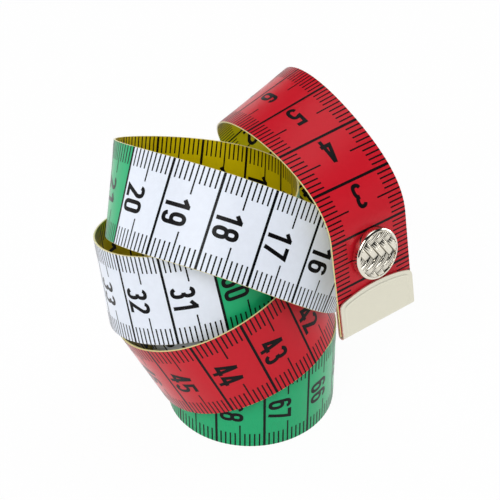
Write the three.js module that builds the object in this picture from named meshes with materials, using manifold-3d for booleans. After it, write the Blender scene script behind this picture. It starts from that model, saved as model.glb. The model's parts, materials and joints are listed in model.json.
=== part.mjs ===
// Cloth tape measure, loosely rolled: a printed tape with folded metal ends and a snap fastener.
// Millimetres, +Z up. The roll stands on the lower edges of its inner turns, front toward -Y.
import * as THREE from 'three';
import { mergeVertices } from 'three/addons/utils/BufferGeometryUtils.js';
import Module from 'manifold-3d';

const wasm = await Module();
wasm.setup();

// Tape
const TAPE_LENGTH = 1500;
const TAPE_WIDTH = 19;
const TAPE_THICKNESS = 0.35;
const LEAD_LENGTH = 58;
const JOIN_GAP = 0.3;
const STATION_STEP = 4.5;

// Core: the part of the roll that is still tightly wound
const CORE_START = 620;
const CORE_INNER_RADIUS = 9.1;
const CORE_PITCH = 0.9;
const CORE_START_ANGLE = THREE.MathUtils.degToRad(168.7);
const CORE_CENTRE = new THREE.Vector3(-0.65, 0.75, TAPE_WIDTH / 2);
const CORE_ANGLE_STEP = THREE.MathUtils.degToRad(15);
const INNER_END_FLAT = 10;
const INNER_END_TURN = THREE.MathUtils.degToRad(50);

// Folded metal ends
const TIP_SIDE_LENGTH = 7;
const TIP_MIDDLE_LENGTH = 8.5;
const TIP_INSET = 0.1;
const TIP_CORNER = 1;
const TIP_SHEET = 0.3;

// Snap fastener, pressed from thin sheet
const SEAT_GAP = 0.3;
const SNAP_SHEET = 0.3;
const SNAP_SEGMENTS = 32;
const CAP_PLACE = 15;
const CAP_RADIUS = 5.2;
const CAP_HEIGHT = 2;
const CAP_CORNER = 0.6;
const CAP_DOME = 0.15;
const CAP_LIP = 1.3;
const POST_RADIUS = 1.3;
const POST_WALL = 0.4;
const POST_FLARE = 0.8;
const SOCKET_RADIUS = 4.3;
const SOCKET_HEIGHT = 2.1;
const SOCKET_BORE = 2.5;
const SOCKET_LIP = 0.3;
const SPRING_WIRE = 0.5;
const SPRING_RADIUS = 2.6;
const SPRING_PLAY = 0.15;
const SPRING_TRAVEL = 0.45;
const SPRING_ARC = THREE.MathUtils.degToRad(320);
const STUD_PLACE = 115;
const STUD_FLAT = 11;
const STUD_FLANGE = 4;
const STUD_HEAD = 2.42;
const STUD_NECK = 2;
const STUD_HEIGHT = 1.9;
const EYELET_RADIUS = 1.1;
const EYELET_FLANGE = 3.6;

const HALF_TAPE = TAPE_THICKNESS / 2;
const CORE_RATE = CORE_PITCH / (2 * Math.PI);
const CORE_LENGTH = TAPE_LENGTH - CORE_START - INNER_END_FLAT;
const CORE_RADIUS = Math.sqrt(CORE_INNER_RADIUS ** 2 + 2 * CORE_RATE * CORE_LENGTH);

// Route of the loose turns: distance from the zero end, middle of the tape, direction across it
const ROUTE = [
  // Lead, and the curl over the top
  [0, [24.5, -11.5, 30], [0.79, 0.62, 0]],
  [20, [22, -8.5, 49.5], [0.79, 0.62, 0]],
  [40, [12.5, 3.5, 62], [0.8, 0.57, 0.1]],
  [60, [2, 20, 62], [0.77, 0.52, 0.35]],
  [80, [0.5, 34, 48.5], [0.73, 0.53, 0.42]],
  [100, [11, 31.5, 32.5], [0.78, 0.42, 0.46]],
  // First loose turn: right, front, left, back
  [125, [22.5, 11, 28.5], [0.66, 0.3, 0.7]],
  [150, [17, -9, 40.5], [0.38, 0.5, 0.78]],
  [175, [-3, -14.5, 53.5], [0.3, 0.66, 0.68]],
  [200, [-24.5, -4, 54], [0.2, 0.52, 0.83]],
  [220, [-27, 13, 45.5], [0.05, 0.45, 0.9]],
  [240, [-11.5, 22.5, 39.5], [0.1, 0.28, 0.95]],
  // Second loose turn: right, front, left, back
  [260, [6, 15, 39.5], [0, 0.12, 1]],
  [280, [8.5, -4, 41.5], [-0.15, 0.1, 1]],
  [300, [-6.5, -16, 40], [-0.22, 0.15, 0.95]],
  [320, [-24.5, -12.5, 35.5], [-0.2, 0.28, 0.94]],
  [340, [-30.5, 5, 29.5], [-0.12, 0.28, 0.95]],
  [360, [-18.5, 20.5, 27], [-0.1, 0.2, 0.95]],
  // Third loose turn: right, front, left, back
  [380, [1, 21, 28.9], [-0.1, 0.07, 1]],
  [400, [13.5, 6, 30], [-0.25, -0.03, 0.95]],
  [420, [9, -13, 28.5], [-0.4, 0, 0.9]],
  [440, [-8, -20, 21.3], [-0.4, -0.03, 0.9]],
  [460, [-22.2, -8.7, 14.2], [-0.43, -0.05, 0.9]],
  [480, [-22.6, 10.2, 15.1], [-0.42, -0.11, 0.9]],
  // Fourth turn, inside the others, coming down to the core
  [500, [-8.5, 19.5, 25.1], [-0.48, -0.13, 0.87]],
  [520, [5.7, 10.1, 33.2], [-0.47, 0, 0.88]],
  [540, [6.1, -8.8, 33.3], [-0.48, 0, 0.88]],
  [560, [-10.3, -16.2, 28.5], [-0.47, 0.11, 0.88]],
  [580, [-20.7, -5.2, 16.8], [-0.33, 0.18, 0.93]],
  [600, [-16.2, 13.4, 10.7], [-0.03, 0.15, 0.99]],
];

// One place on the tape: the normal points out of its printed side
function station(along, point, tangent, across) {
  const direction = tangent.clone().normalize();
  const side = across.clone().addScaledVector(direction, -across.dot(direction)).normalize();
  return { along, point, tangent: direction, across: side, normal: side.clone().cross(direction) };
}

// The core is a spiral that closes in by one pitch a turn
function coreAngle(along) {
  const inside = CORE_RADIUS ** 2 - 2 * CORE_RATE * (along - CORE_START);
  return (CORE_RADIUS - Math.sqrt(inside)) / CORE_RATE;
}

function coreStation(turned) {
  const radius = CORE_RADIUS - CORE_RATE * turned;
  const angle = CORE_START_ANGLE - turned;
  const outward = new THREE.Vector3(Math.sin(angle), -Math.cos(angle), 0);
  const sideways = new THREE.Vector3(-Math.cos(angle), -Math.sin(angle), 0);
  const along = CORE_START + CORE_RADIUS * turned - CORE_RATE * turned ** 2 / 2;
  const point = CORE_CENTRE.clone().addScaledVector(outward, radius);
  const tangent = sideways.multiplyScalar(radius).addScaledVector(outward, -CORE_RATE);
  return station(along, point, tangent, new THREE.Vector3(0, 0, 1));
}

// Smooth curve through the chosen places: slopes that make its curvature continuous
const SLOPE_SWEEPS = 80;

function smoothSlopes(knots, values, firstSlope, lastSlope) {
  const slopes = values.map(() => new THREE.Vector3());
  slopes[0].copy(firstSlope);
  slopes[slopes.length - 1].copy(lastSlope);
  for (let sweep = 0; sweep < SLOPE_SWEEPS; sweep += 1) {
    for (let i = 1; i < knots.length - 1; i += 1) {
      const before = knots[i] - knots[i - 1];
      const after = knots[i + 1] - knots[i];
      slopes[i].set(0, 0, 0)
        .addScaledVector(values[i].clone().sub(values[i - 1]), 3 / before ** 2)
        .addScaledVector(values[i + 1].clone().sub(values[i]), 3 / after ** 2)
        .addScaledVector(slopes[i - 1], -1 / before)
        .addScaledVector(slopes[i + 1], -1 / after)
        .divideScalar(2 / before + 2 / after);
    }
  }
  return slopes;
}

class SmoothCurve {
  constructor(knots, values, firstSlope, lastSlope) {
    this.knots = knots;
    this.values = values;
    this.slopes = smoothSlopes(knots, values, firstSlope, lastSlope);
  }

  // Mix of the two nearest places and slopes, with the four given weights
  mix(along, weights) {
    let i = 0;
    while (i < this.knots.length - 2 && along > this.knots[i + 1]) i += 1;
    const span = this.knots[i + 1] - this.knots[i];
    const [startValue, startSlope, endValue, endSlope] = weights((along - this.knots[i]) / span, span);
    return new THREE.Vector3()
      .addScaledVector(this.values[i], startValue)
      .addScaledVector(this.slopes[i], startSlope)
      .addScaledVector(this.values[i + 1], endValue)
      .addScaledVector(this.slopes[i + 1], endSlope);
  }

  at(along) {
    return this.mix(along, (u, span) => [
      2 * u ** 3 - 3 * u ** 2 + 1,
      span * (u ** 3 - 2 * u ** 2 + u),
      3 * u ** 2 - 2 * u ** 3,
      span * (u ** 3 - u ** 2),
    ]);
  }

  slopeAt(along) {
    return this.mix(along, (u, span) => [
      (6 * u ** 2 - 6 * u) / span,
      3 * u ** 2 - 4 * u + 1,
      (6 * u - 6 * u ** 2) / span,
      3 * u ** 2 - 2 * u,
    ]);
  }
}

// The zero end stays straight up to the list's second place, and the last place joins the core
const LEAD_FLAT = ROUTE[1][0];
const zeroEnd = new THREE.Vector3(...ROUTE[0][1]);
const loose = ROUTE.slice(1);
const coreStart = coreStation(0);
const looseKnots = [...loose.map(([along]) => along), CORE_START];
const loosePoints = [...loose.map(([, point]) => new THREE.Vector3(...point)), coreStart.point];
const looseSides = [...loose.map(([, , side]) => new THREE.Vector3(...side).normalize()), coreStart.across];
const leadSlope = loosePoints[0].clone().sub(zeroEnd).divideScalar(LEAD_FLAT);
const still = new THREE.Vector3();
const middleCurve = new SmoothCurve(looseKnots, loosePoints, leadSlope, coreStart.tangent);
const sideCurve = new SmoothCurve(looseKnots, looseSides, still, still);

function looseStation(along) {
  const near = Math.max(along, LEAD_FLAT);
  const point = middleCurve.at(near).addScaledVector(leadSlope, along - near);
  return station(along, point, middleCurve.slopeAt(near), sideCurve.at(near));
}

// Evenly spaced places between two distances, both ends included
function looseRun(from, to) {
  const steps = Math.ceil((to - from) / STATION_STEP);
  return Array.from({ length: steps + 1 }, (_, i) => looseStation(from + (to - from) * i / steps));
}

// A straight stretch of tape, held flat by what is riveted or folded onto it
function flatRun(start, end) {
  const direction = end.point.clone().sub(start.point);
  const side = start.across.clone().add(end.across);
  return [start, end].map(({ along, point }) => station(along, point, direction, side));
}

function middleOf([start, end]) {
  const along = (start.along + end.along) / 2;
  const point = start.point.clone().lerp(end.point, 0.5);
  return { ...start, along, point };
}

// The core starts a small gap after the loose turns end
function coreRun() {
  const first = coreAngle(CORE_START + JOIN_GAP);
  const steps = Math.floor(coreAngle(TAPE_LENGTH - INNER_END_FLAT) / CORE_ANGLE_STEP);
  const turns = Array.from({ length: steps }, (_, i) => (i + 1) * CORE_ANGLE_STEP);
  return [first, ...turns].map(coreStation);
}

// The inner end turns in from the core as a flat flap that carries its metal end
function innerEndRun(last) {
  const direction = last.tangent.clone().applyAxisAngle(last.across, -INNER_END_TURN);
  const reach = TAPE_LENGTH - last.along;
  const start = last.point.clone().addScaledVector(direction, reach - INNER_END_FLAT + SEAT_GAP);
  const end = last.point.clone().addScaledVector(direction, reach);
  return [
    station(TAPE_LENGTH - INNER_END_FLAT + SEAT_GAP, start, direction, last.across),
    station(TAPE_LENGTH, end, direction, last.across),
  ];
}

const leadFlat = [looseStation(0), looseStation(LEAD_FLAT)];
const beforeStud = STUD_PLACE - STUD_FLAT / 2;
const afterStud = STUD_PLACE + STUD_FLAT / 2;
const studFlat = flatRun(looseStation(beforeStud), looseStation(afterStud));
const leadRun = [
  leadFlat[0],
  ...looseRun(LEAD_FLAT, LEAD_LENGTH - JOIN_GAP / 2),
];
const turnsRun = [
  ...looseRun(LEAD_LENGTH + JOIN_GAP / 2, beforeStud).slice(0, -1),
  ...studFlat,
  ...looseRun(afterStud, CORE_START).slice(1),
];
const woundRun = coreRun();
const innerEnd = innerEndRun(woundRun[woundRun.length - 1]);
const wholeCoreRun = [...woundRun, ...innerEnd];

// Tape: four corners at each place, joined into one closed band. The reverse is split along the same
// diagonals as the front, so that the band keeps its thickness where it twists
const REVERSE_FACE = 2;

function tapeGeometry(run) {
  const positions = [];
  const faces = [];
  const corners = [[1, 1], [-1, 1], [-1, -1], [1, -1]];
  for (const { point, across, normal } of run) {
    for (const [side, face] of corners) {
      const corner = point.clone()
        .addScaledVector(across, side * TAPE_WIDTH / 2)
        .addScaledVector(normal, face * HALF_TAPE);
      positions.push(corner.x, corner.y, corner.z);
    }
  }
  for (let i = 0; i + 1 < run.length; i += 1) {
    for (let c = 0; c < 4; c += 1) {
      const a = 4 * i + c;
      const b = 4 * i + (c + 1) % 4;
      if (c === REVERSE_FACE) faces.push(a, a + 4, b + 4, a, b + 4, b);
      else faces.push(a, a + 4, b, b, a + 4, b + 4);
    }
  }
  const last = 4 * (run.length - 1);
  faces.push(0, 1, 2, 0, 2, 3);
  faces.push(last, last + 2, last + 1, last, last + 3, last + 2);
  const geometry = new THREE.BufferGeometry();
  geometry.setAttribute('position', new THREE.Float32BufferAttribute(positions, 3));
  geometry.setIndex(faces);
  return geometry;
}

// Solids for cutting, from closed meshes with shared corners
function solidFrom(geometry) {
  const bare = geometry.clone();
  bare.deleteAttribute('normal');
  bare.deleteAttribute('uv');
  const merged = mergeVertices(bare);
  const vertProperties = new Float32Array(merged.attributes.position.array);
  const triVerts = new Uint32Array(merged.index.array);
  return new wasm.Manifold(new wasm.Mesh({ numProp: 3, vertProperties, triVerts }));
}

function geometryFrom(solid) {
  const { vertProperties, triVerts } = solid.getMesh();
  const geometry = new THREE.BufferGeometry();
  geometry.setAttribute('position', new THREE.Float32BufferAttribute(vertProperties, 3));
  geometry.setIndex(Array.from(triVerts));
  geometry.computeVertexNormals();
  return geometry;
}

// Axes of a place on the tape: x along it, z out of its printed side
function placeMatrix({ point, tangent, normal }) {
  const sideways = normal.clone().cross(tangent);
  return new THREE.Matrix4().makeBasis(tangent, sideways, normal).setPosition(point);
}

function piercedTape(run, place, radius) {
  const drill = new THREE.CylinderGeometry(radius, radius, TAPE_WIDTH / 2, SNAP_SEGMENTS);
  drill.rotateX(Math.PI / 2);
  drill.applyMatrix4(placeMatrix(place));
  return geometryFrom(solidFrom(tapeGeometry(run)).subtract(solidFrom(drill)));
}

// Metal end: sheet folded round the end of the tape, its free edges cut as a shallow arch
function tipGeometry() {
  const slot = HALF_TAPE + SEAT_GAP;
  const outside = slot + TIP_SHEET;
  const width = TAPE_WIDTH - 2 * TIP_INSET;
  const fold = new THREE.Shape();
  fold.moveTo(TIP_MIDDLE_LENGTH, outside);
  fold.lineTo(0, outside);
  fold.absarc(0, 0, outside, Math.PI / 2, 3 * Math.PI / 2, false);
  fold.lineTo(TIP_MIDDLE_LENGTH, -outside);
  fold.lineTo(TIP_MIDDLE_LENGTH, -slot);
  fold.lineTo(0, -slot);
  fold.absarc(0, 0, slot, 3 * Math.PI / 2, Math.PI / 2, true);
  fold.lineTo(TIP_MIDDLE_LENGTH, slot);
  const folded = new THREE.ExtrudeGeometry(fold, { depth: width, bevelEnabled: false, curveSegments: 8 });
  folded.translate(0, 0, -width / 2);
  folded.rotateX(Math.PI / 2);

  const rise = TIP_MIDDLE_LENGTH - TIP_SIDE_LENGTH;
  const archRadius = ((width / 2) ** 2 + rise ** 2) / (2 * rise);
  const archAngle = Math.asin(width / 2 / archRadius);
  const arch = TIP_MIDDLE_LENGTH - archRadius;
  const roundedAngle = archAngle - TIP_CORNER / archRadius;
  const cornerX = arch + archRadius * Math.cos(roundedAngle);
  const cornerY = archRadius * Math.sin(roundedAngle);
  const outline = new THREE.Shape();
  outline.moveTo(-2 * outside, -width / 2);
  outline.lineTo(TIP_SIDE_LENGTH - TIP_CORNER, -width / 2);
  outline.quadraticCurveTo(TIP_SIDE_LENGTH, -width / 2, cornerX, -cornerY);
  outline.absarc(arch, 0, archRadius, -roundedAngle, roundedAngle, false);
  outline.quadraticCurveTo(TIP_SIDE_LENGTH, width / 2, TIP_SIDE_LENGTH - TIP_CORNER, width / 2);
  outline.lineTo(-2 * outside, width / 2);
  const cut = { depth: 4 * outside, bevelEnabled: false, curveSegments: 12 };
  const cutter = new THREE.ExtrudeGeometry(outline, cut);
  cutter.translate(0, 0, -2 * outside);
  return geometryFrom(solidFrom(folded).intersect(solidFrom(cutter)));
}

// Round pieces: radius and height above the middle of the tape, turned about the snap's own axis
function turned(profile) {
  const points = profile.map(([radius, height]) => new THREE.Vector2(radius, height));
  const geometry = new THREE.LatheGeometry(points, SNAP_SEGMENTS);
  geometry.rotateX(Math.PI / 2);
  return geometry;
}

const faceHeight = HALF_TAPE + SEAT_GAP;
const capTop = faceHeight + CAP_HEIGHT;
const lipTop = faceHeight + SNAP_SHEET;
const postPlate = lipTop + SEAT_GAP;
const socketPlate = faceHeight + SNAP_SHEET;
const flareTop = socketPlate + SEAT_GAP;
const socketMouth = faceHeight + SOCKET_HEIGHT;
const grooveTop = socketMouth - SOCKET_LIP;
const grooveFloor = grooveTop - SPRING_WIRE - 2 * SPRING_PLAY;
const studTop = faceHeight + STUD_HEIGHT;
const studBore = EYELET_RADIUS + SEAT_GAP;

function capGeometry() {
  const inner = CAP_RADIUS - SNAP_SHEET;
  const lip = CAP_RADIUS - CAP_LIP;
  return turned([
    [0, capTop - SNAP_SHEET],
    [inner - CAP_CORNER, capTop - SNAP_SHEET - CAP_DOME],
    [inner, capTop - SNAP_SHEET - CAP_DOME - CAP_CORNER],
    [inner, lipTop],
    [lip, lipTop],
    [lip, faceHeight],
    [CAP_RADIUS - SNAP_SHEET, faceHeight],
    [CAP_RADIUS, lipTop],
    [CAP_RADIUS, capTop - CAP_DOME - CAP_CORNER],
    [CAP_RADIUS - CAP_CORNER, capTop - CAP_DOME],
    [0, capTop],
  ]);
}

function capPostGeometry() {
  const plate = CAP_RADIUS - SNAP_SHEET - SEAT_GAP;
  const bore = POST_RADIUS - POST_WALL;
  return turned([
    [0, postPlate],
    [bore, postPlate],
    [bore, -flareTop - SNAP_SHEET],
    [POST_RADIUS + POST_FLARE, -flareTop - SNAP_SHEET],
    [POST_RADIUS + POST_FLARE, -flareTop],
    [POST_RADIUS, -flareTop],
    [POST_RADIUS, postPlate],
    [plate, postPlate],
    [plate, postPlate + SNAP_SHEET],
    [0, postPlate + SNAP_SHEET],
  ]);
}

function socketGeometry() {
  const bore = POST_RADIUS + SEAT_GAP;
  const groove = SPRING_RADIUS + SPRING_WIRE / 2 + SPRING_TRAVEL;
  return turned([
    [bore, -faceHeight],
    [bore, -socketPlate],
    [SOCKET_BORE, -socketPlate],
    [SOCKET_BORE, -grooveFloor],
    [groove, -grooveFloor],
    [groove, -grooveTop],
    [SOCKET_BORE, -grooveTop],
    [SOCKET_BORE, -socketMouth],
    [groove, -socketMouth],
    [(groove + SOCKET_RADIUS) / 2, -grooveTop],
    [SOCKET_RADIUS, -socketPlate],
    [SOCKET_RADIUS, -faceHeight],
    [bore, -faceHeight],
  ]);
}

class SpringPath extends THREE.Curve {
  getPoint(share, target = new THREE.Vector3()) {
    const angle = share * SPRING_ARC;
    const height = -(grooveFloor + grooveTop) / 2;
    return target.set(SPRING_RADIUS * Math.cos(angle), SPRING_RADIUS * Math.sin(angle), height);
  }
}

function springGeometry() {
  const wire = new THREE.Shape();
  wire.absarc(0, 0, SPRING_WIRE / 2, 0, 2 * Math.PI, false);
  return new THREE.ExtrudeGeometry(wire, { steps: 28, curveSegments: 8, extrudePath: new SpringPath() });
}

function studGeometry() {
  return turned([
    [studBore, faceHeight],
    [STUD_FLANGE, faceHeight],
    [STUD_FLANGE, faceHeight + SNAP_SHEET],
    [STUD_NECK, faceHeight + SNAP_SHEET],
    [STUD_NECK, faceHeight + STUD_HEIGHT / 2],
    [STUD_HEAD, studTop - STUD_HEIGHT / 4],
    [STUD_NECK, studTop],
    [studBore, studTop],
    [studBore, faceHeight],
  ]);
}

function eyeletGeometry() {
  const bore = EYELET_RADIUS - POST_WALL;
  const flare = studTop + SEAT_GAP;
  return turned([
    [bore, -faceHeight - SNAP_SHEET],
    [EYELET_FLANGE, -faceHeight - SNAP_SHEET],
    [EYELET_FLANGE, -faceHeight],
    [EYELET_RADIUS, -faceHeight],
    [EYELET_RADIUS, flare],
    [STUD_NECK, flare],
    [EYELET_RADIUS, flare + SNAP_SHEET],
    [bore, flare + SNAP_SHEET],
    [bore, -faceHeight - SNAP_SHEET],
  ]);
}

// Materials
const RED_CLOTH = new THREE.MeshStandardMaterial({ color: 0xd72837, roughness: 0.5, metalness: 0 });
const WHITE_CLOTH = new THREE.MeshStandardMaterial({ color: 0xe6ebf5, roughness: 0.5, metalness: 0 });
const GREEN_CLOTH = new THREE.MeshStandardMaterial({ color: 0x28aa6e, roughness: 0.5, metalness: 0 });
const TIP_METAL = new THREE.MeshStandardMaterial({ color: 0xe4e2d2, roughness: 0.35, metalness: 0.9 });
const NICKEL = new THREE.MeshStandardMaterial({ color: 0xc9cccf, roughness: 0.22, metalness: 1 });
const SPRING_STEEL = new THREE.MeshStandardMaterial({ color: 0x8d9094, roughness: 0.3, metalness: 1 });

function piece(name, geometry, material) {
  const mesh = new THREE.Mesh(geometry, material);
  mesh.name = name;
  return mesh;
}

function groupAt(place, ...pieces) {
  const group = new THREE.Group();
  placeMatrix(place).decompose(group.position, group.quaternion, group.scale);
  group.add(...pieces);
  return group;
}

const capPlace = { ...leadFlat[0], point: looseStation(CAP_PLACE).point };
const studPlace = middleOf(studFlat);
const innerTipPlace = { ...innerEnd[1], tangent: innerEnd[1].tangent.clone().negate() };

const tapeMeasure = new THREE.Group();
tapeMeasure.add(
  piece('tape_lead', piercedTape(leadRun, capPlace, POST_RADIUS + SEAT_GAP), RED_CLOTH),
  piece('tape_loose_turns', piercedTape(turnsRun, studPlace, studBore), WHITE_CLOTH),
  piece('tape_core', tapeGeometry(wholeCoreRun), GREEN_CLOTH),
  groupAt(leadFlat[0], piece('zero_end_tip', tipGeometry(), TIP_METAL)),
  groupAt(innerTipPlace, piece('inner_end_tip', tipGeometry(), TIP_METAL)),
  groupAt(
    capPlace,
    piece('snap_cap', capGeometry(), NICKEL),
    piece('snap_cap_post', capPostGeometry(), NICKEL),
    piece('snap_socket', socketGeometry(), NICKEL),
    piece('snap_spring', springGeometry(), SPRING_STEEL),
  ),
  groupAt(
    studPlace,
    piece('snap_stud', studGeometry(), NICKEL),
    piece('snap_stud_eyelet', eyeletGeometry(), NICKEL),
  ),
);

// Least gap of the tape to itself, measured between points on different turns
const GAP_SPACING = 0.5;
const GAP_POINTS_ACROSS = 20;
const GAP_SEARCH = 2;
const SAME_TURN = 30;

function pointsOn(run) {
  const points = [];
  for (let i = 0; i + 1 < run.length; i += 1) {
    const steps = Math.ceil((run[i + 1].along - run[i].along) / GAP_SPACING);
    for (let k = 0; k < steps; k += 1) {
      const share = k / steps;
      const along = THREE.MathUtils.lerp(run[i].along, run[i + 1].along, share);
      const middle = run[i].point.clone().lerp(run[i + 1].point, share);
      const side = run[i].across.clone().lerp(run[i + 1].across, share);
      for (let row = 0; row <= GAP_POINTS_ACROSS; row += 1) {
        const offset = TAPE_WIDTH * (row / GAP_POINTS_ACROSS - 0.5);
        points.push({ along, point: middle.clone().addScaledVector(side, offset) });
      }
    }
  }
  return points;
}

function cellKey(point, dx, dy, dz) {
  const x = Math.floor(point.x / GAP_SEARCH) + dx;
  const y = Math.floor(point.y / GAP_SEARCH) + dy;
  const z = Math.floor(point.z / GAP_SEARCH) + dz;
  return `${x},${y},${z}`;
}

function leastGap(points) {
  const cells = new Map();
  for (const entry of points) {
    const key = cellKey(entry.point, 0, 0, 0);
    if (!cells.has(key)) cells.set(key, []);
    cells.get(key).push(entry);
  }
  const around = [-1, 0, 1];
  const neighbours = around.flatMap((x) => around.flatMap((y) => around.map((z) => [x, y, z])));
  let least = GAP_SEARCH ** 2;
  for (const entry of points) {
    for (const [dx, dy, dz] of neighbours) {
      for (const other of cells.get(cellKey(entry.point, dx, dy, dz)) ?? []) {
        if (other.along - entry.along < SAME_TURN) continue;
        least = Math.min(least, entry.point.distanceToSquared(other.point));
      }
    }
  }
  return Math.sqrt(least) - TAPE_THICKNESS;
}

const wholeTape = [...leadRun, ...turnsRun, ...wholeCoreRun];
console.log(`Least gap of the tape to itself: ${leastGap(pointsOn(wholeTape)).toFixed(2)} mm`);

// The frame's origin lies under the middle of the whole object, on the surface that it stands on
const bounds = new THREE.Box3().setFromObject(tapeMeasure, true);
const centre = bounds.getCenter(new THREE.Vector3());
tapeMeasure.position.set(-centre.x, -centre.y, -bounds.min.z);

export default tapeMeasure;
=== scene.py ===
"""Cloth tape measure, loosely rolled: the printed band, its metal ends and its snap fastener.

The band and its print are drawn flat first: x along the tape from the zero end, y across it toward
the lower edge, z above its middle. A Geometry Nodes group then lays each flat drawing on the route.
"""

from __future__ import annotations

import json
import logging
import math
from dataclasses import dataclass
from enum import Enum, IntEnum
from typing import Iterable, Sequence

import bmesh
import bpy
import numpy as np
from mathutils import Matrix, Vector

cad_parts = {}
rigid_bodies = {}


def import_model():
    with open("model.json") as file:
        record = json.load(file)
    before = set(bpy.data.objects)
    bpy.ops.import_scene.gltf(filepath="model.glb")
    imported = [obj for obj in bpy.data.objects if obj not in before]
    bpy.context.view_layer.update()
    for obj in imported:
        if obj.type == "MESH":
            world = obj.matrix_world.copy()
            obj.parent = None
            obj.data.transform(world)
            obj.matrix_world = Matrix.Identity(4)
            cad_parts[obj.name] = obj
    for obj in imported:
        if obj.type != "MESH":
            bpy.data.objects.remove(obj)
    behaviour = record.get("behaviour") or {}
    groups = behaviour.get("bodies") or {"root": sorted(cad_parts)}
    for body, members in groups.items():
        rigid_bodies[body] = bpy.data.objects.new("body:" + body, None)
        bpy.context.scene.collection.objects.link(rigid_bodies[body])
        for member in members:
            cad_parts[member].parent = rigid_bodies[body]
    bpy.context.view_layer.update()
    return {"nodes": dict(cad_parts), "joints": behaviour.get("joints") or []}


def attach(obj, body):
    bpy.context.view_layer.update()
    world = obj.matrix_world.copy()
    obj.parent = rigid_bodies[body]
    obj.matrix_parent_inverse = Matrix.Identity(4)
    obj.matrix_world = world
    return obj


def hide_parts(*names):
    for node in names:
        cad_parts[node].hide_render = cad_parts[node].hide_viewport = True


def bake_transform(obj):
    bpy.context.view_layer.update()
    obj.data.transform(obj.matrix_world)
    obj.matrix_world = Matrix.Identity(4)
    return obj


LOG = logging.getLogger("tape_measure")
MM = 0.001
MM_PER_CM = 10

Array = np.ndarray
Point = tuple[float, float]
Points = Sequence[Point]
Corner = tuple[float, float, float]
Faces = list[list[int]]
Paint = tuple[float, float, float, float]
Material = bpy.types.Material
Mesh = bpy.types.Mesh
Piece = bpy.types.Object
Socket = bpy.types.NodeSocket
Tree = bpy.types.NodeTree


class Body(str, Enum):
    """The two bodies of the frame that pieces ride on."""

    ROLL = "roll"
    LEAD = "lead"


class Side(IntEnum):
    """The two printed sides of the tape, as the sign of their height."""

    FRONT = 1
    REVERSE = -1


class BandFinish(IntEnum):
    """What each face of the band is covered with."""

    RED = 0
    WHITE = 1
    GREEN = 2
    REVERSE = 3
    EDGE = 4


BLOCK_COLOURS = (BandFinish.RED, BandFinish.WHITE, BandFinish.GREEN, BandFinish.WHITE)

# Route of the loose turns, as in the part's source: distance, middle and direction across, in millimetres
ROUTE = (
    # Lead, and the curl over the top
    (0, (24.5, -11.5, 30), (0.79, 0.62, 0)),
    (20, (22, -8.5, 49.5), (0.79, 0.62, 0)),
    (40, (12.5, 3.5, 62), (0.8, 0.57, 0.1)),
    (60, (2, 20, 62), (0.77, 0.52, 0.35)),
    (80, (0.5, 34, 48.5), (0.73, 0.53, 0.42)),
    (100, (11, 31.5, 32.5), (0.78, 0.42, 0.46)),
    # First loose turn: right, front, left, back
    (125, (22.5, 11, 28.5), (0.66, 0.3, 0.7)),
    (150, (17, -9, 40.5), (0.38, 0.5, 0.78)),
    (175, (-3, -14.5, 53.5), (0.3, 0.66, 0.68)),
    (200, (-24.5, -4, 54), (0.2, 0.52, 0.83)),
    (220, (-27, 13, 45.5), (0.05, 0.45, 0.9)),
    (240, (-11.5, 22.5, 39.5), (0.1, 0.28, 0.95)),
    # Second loose turn: right, front, left, back
    (260, (6, 15, 39.5), (0, 0.12, 1)),
    (280, (8.5, -4, 41.5), (-0.15, 0.1, 1)),
    (300, (-6.5, -16, 40), (-0.22, 0.15, 0.95)),
    (320, (-24.5, -12.5, 35.5), (-0.2, 0.28, 0.94)),
    (340, (-30.5, 5, 29.5), (-0.12, 0.28, 0.95)),
    (360, (-18.5, 20.5, 27), (-0.1, 0.2, 0.95)),
    # Third loose turn: right, front, left, back
    (380, (1, 21, 28.9), (-0.1, 0.07, 1)),
    (400, (13.5, 6, 30), (-0.25, -0.03, 0.95)),
    (420, (9, -13, 28.5), (-0.4, 0, 0.9)),
    (440, (-8, -20, 21.3), (-0.4, -0.03, 0.9)),
    (460, (-22.2, -8.7, 14.2), (-0.43, -0.05, 0.9)),
    (480, (-22.6, 10.2, 15.1), (-0.42, -0.11, 0.9)),
    # Fourth turn, inside the others, coming down to the core
    (500, (-8.5, 19.5, 25.1), (-0.48, -0.13, 0.87)),
    (520, (5.7, 10.1, 33.2), (-0.47, 0, 0.88)),
    (540, (6.1, -8.8, 33.3), (-0.48, 0, 0.88)),
    (560, (-10.3, -16.2, 28.5), (-0.47, 0.11, 0.88)),
    (580, (-20.7, -5.2, 16.8), (-0.33, 0.18, 0.93)),
    (600, (-16.2, 13.4, 10.7), (-0.03, 0.15, 0.99)),
)


def unit(rows: Array) -> Array:
    """Returns the rows of an array made one long."""
    return rows / np.linalg.norm(rows, axis=-1, keepdims=True)


def smoothstep(low: float, high: float, values: Array | float) -> Array:
    """Returns 0 below low, 1 above high and a smooth rise between them."""
    share = np.clip((values - low) / (high - low), 0, 1)
    return share * share * (3 - 2 * share)


def row_of(*coordinates: Array | float) -> Array:
    """Returns a row of points from their x, y and z, each one number or one number per point."""
    return np.stack(np.broadcast_arrays(*coordinates), 1)


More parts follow.
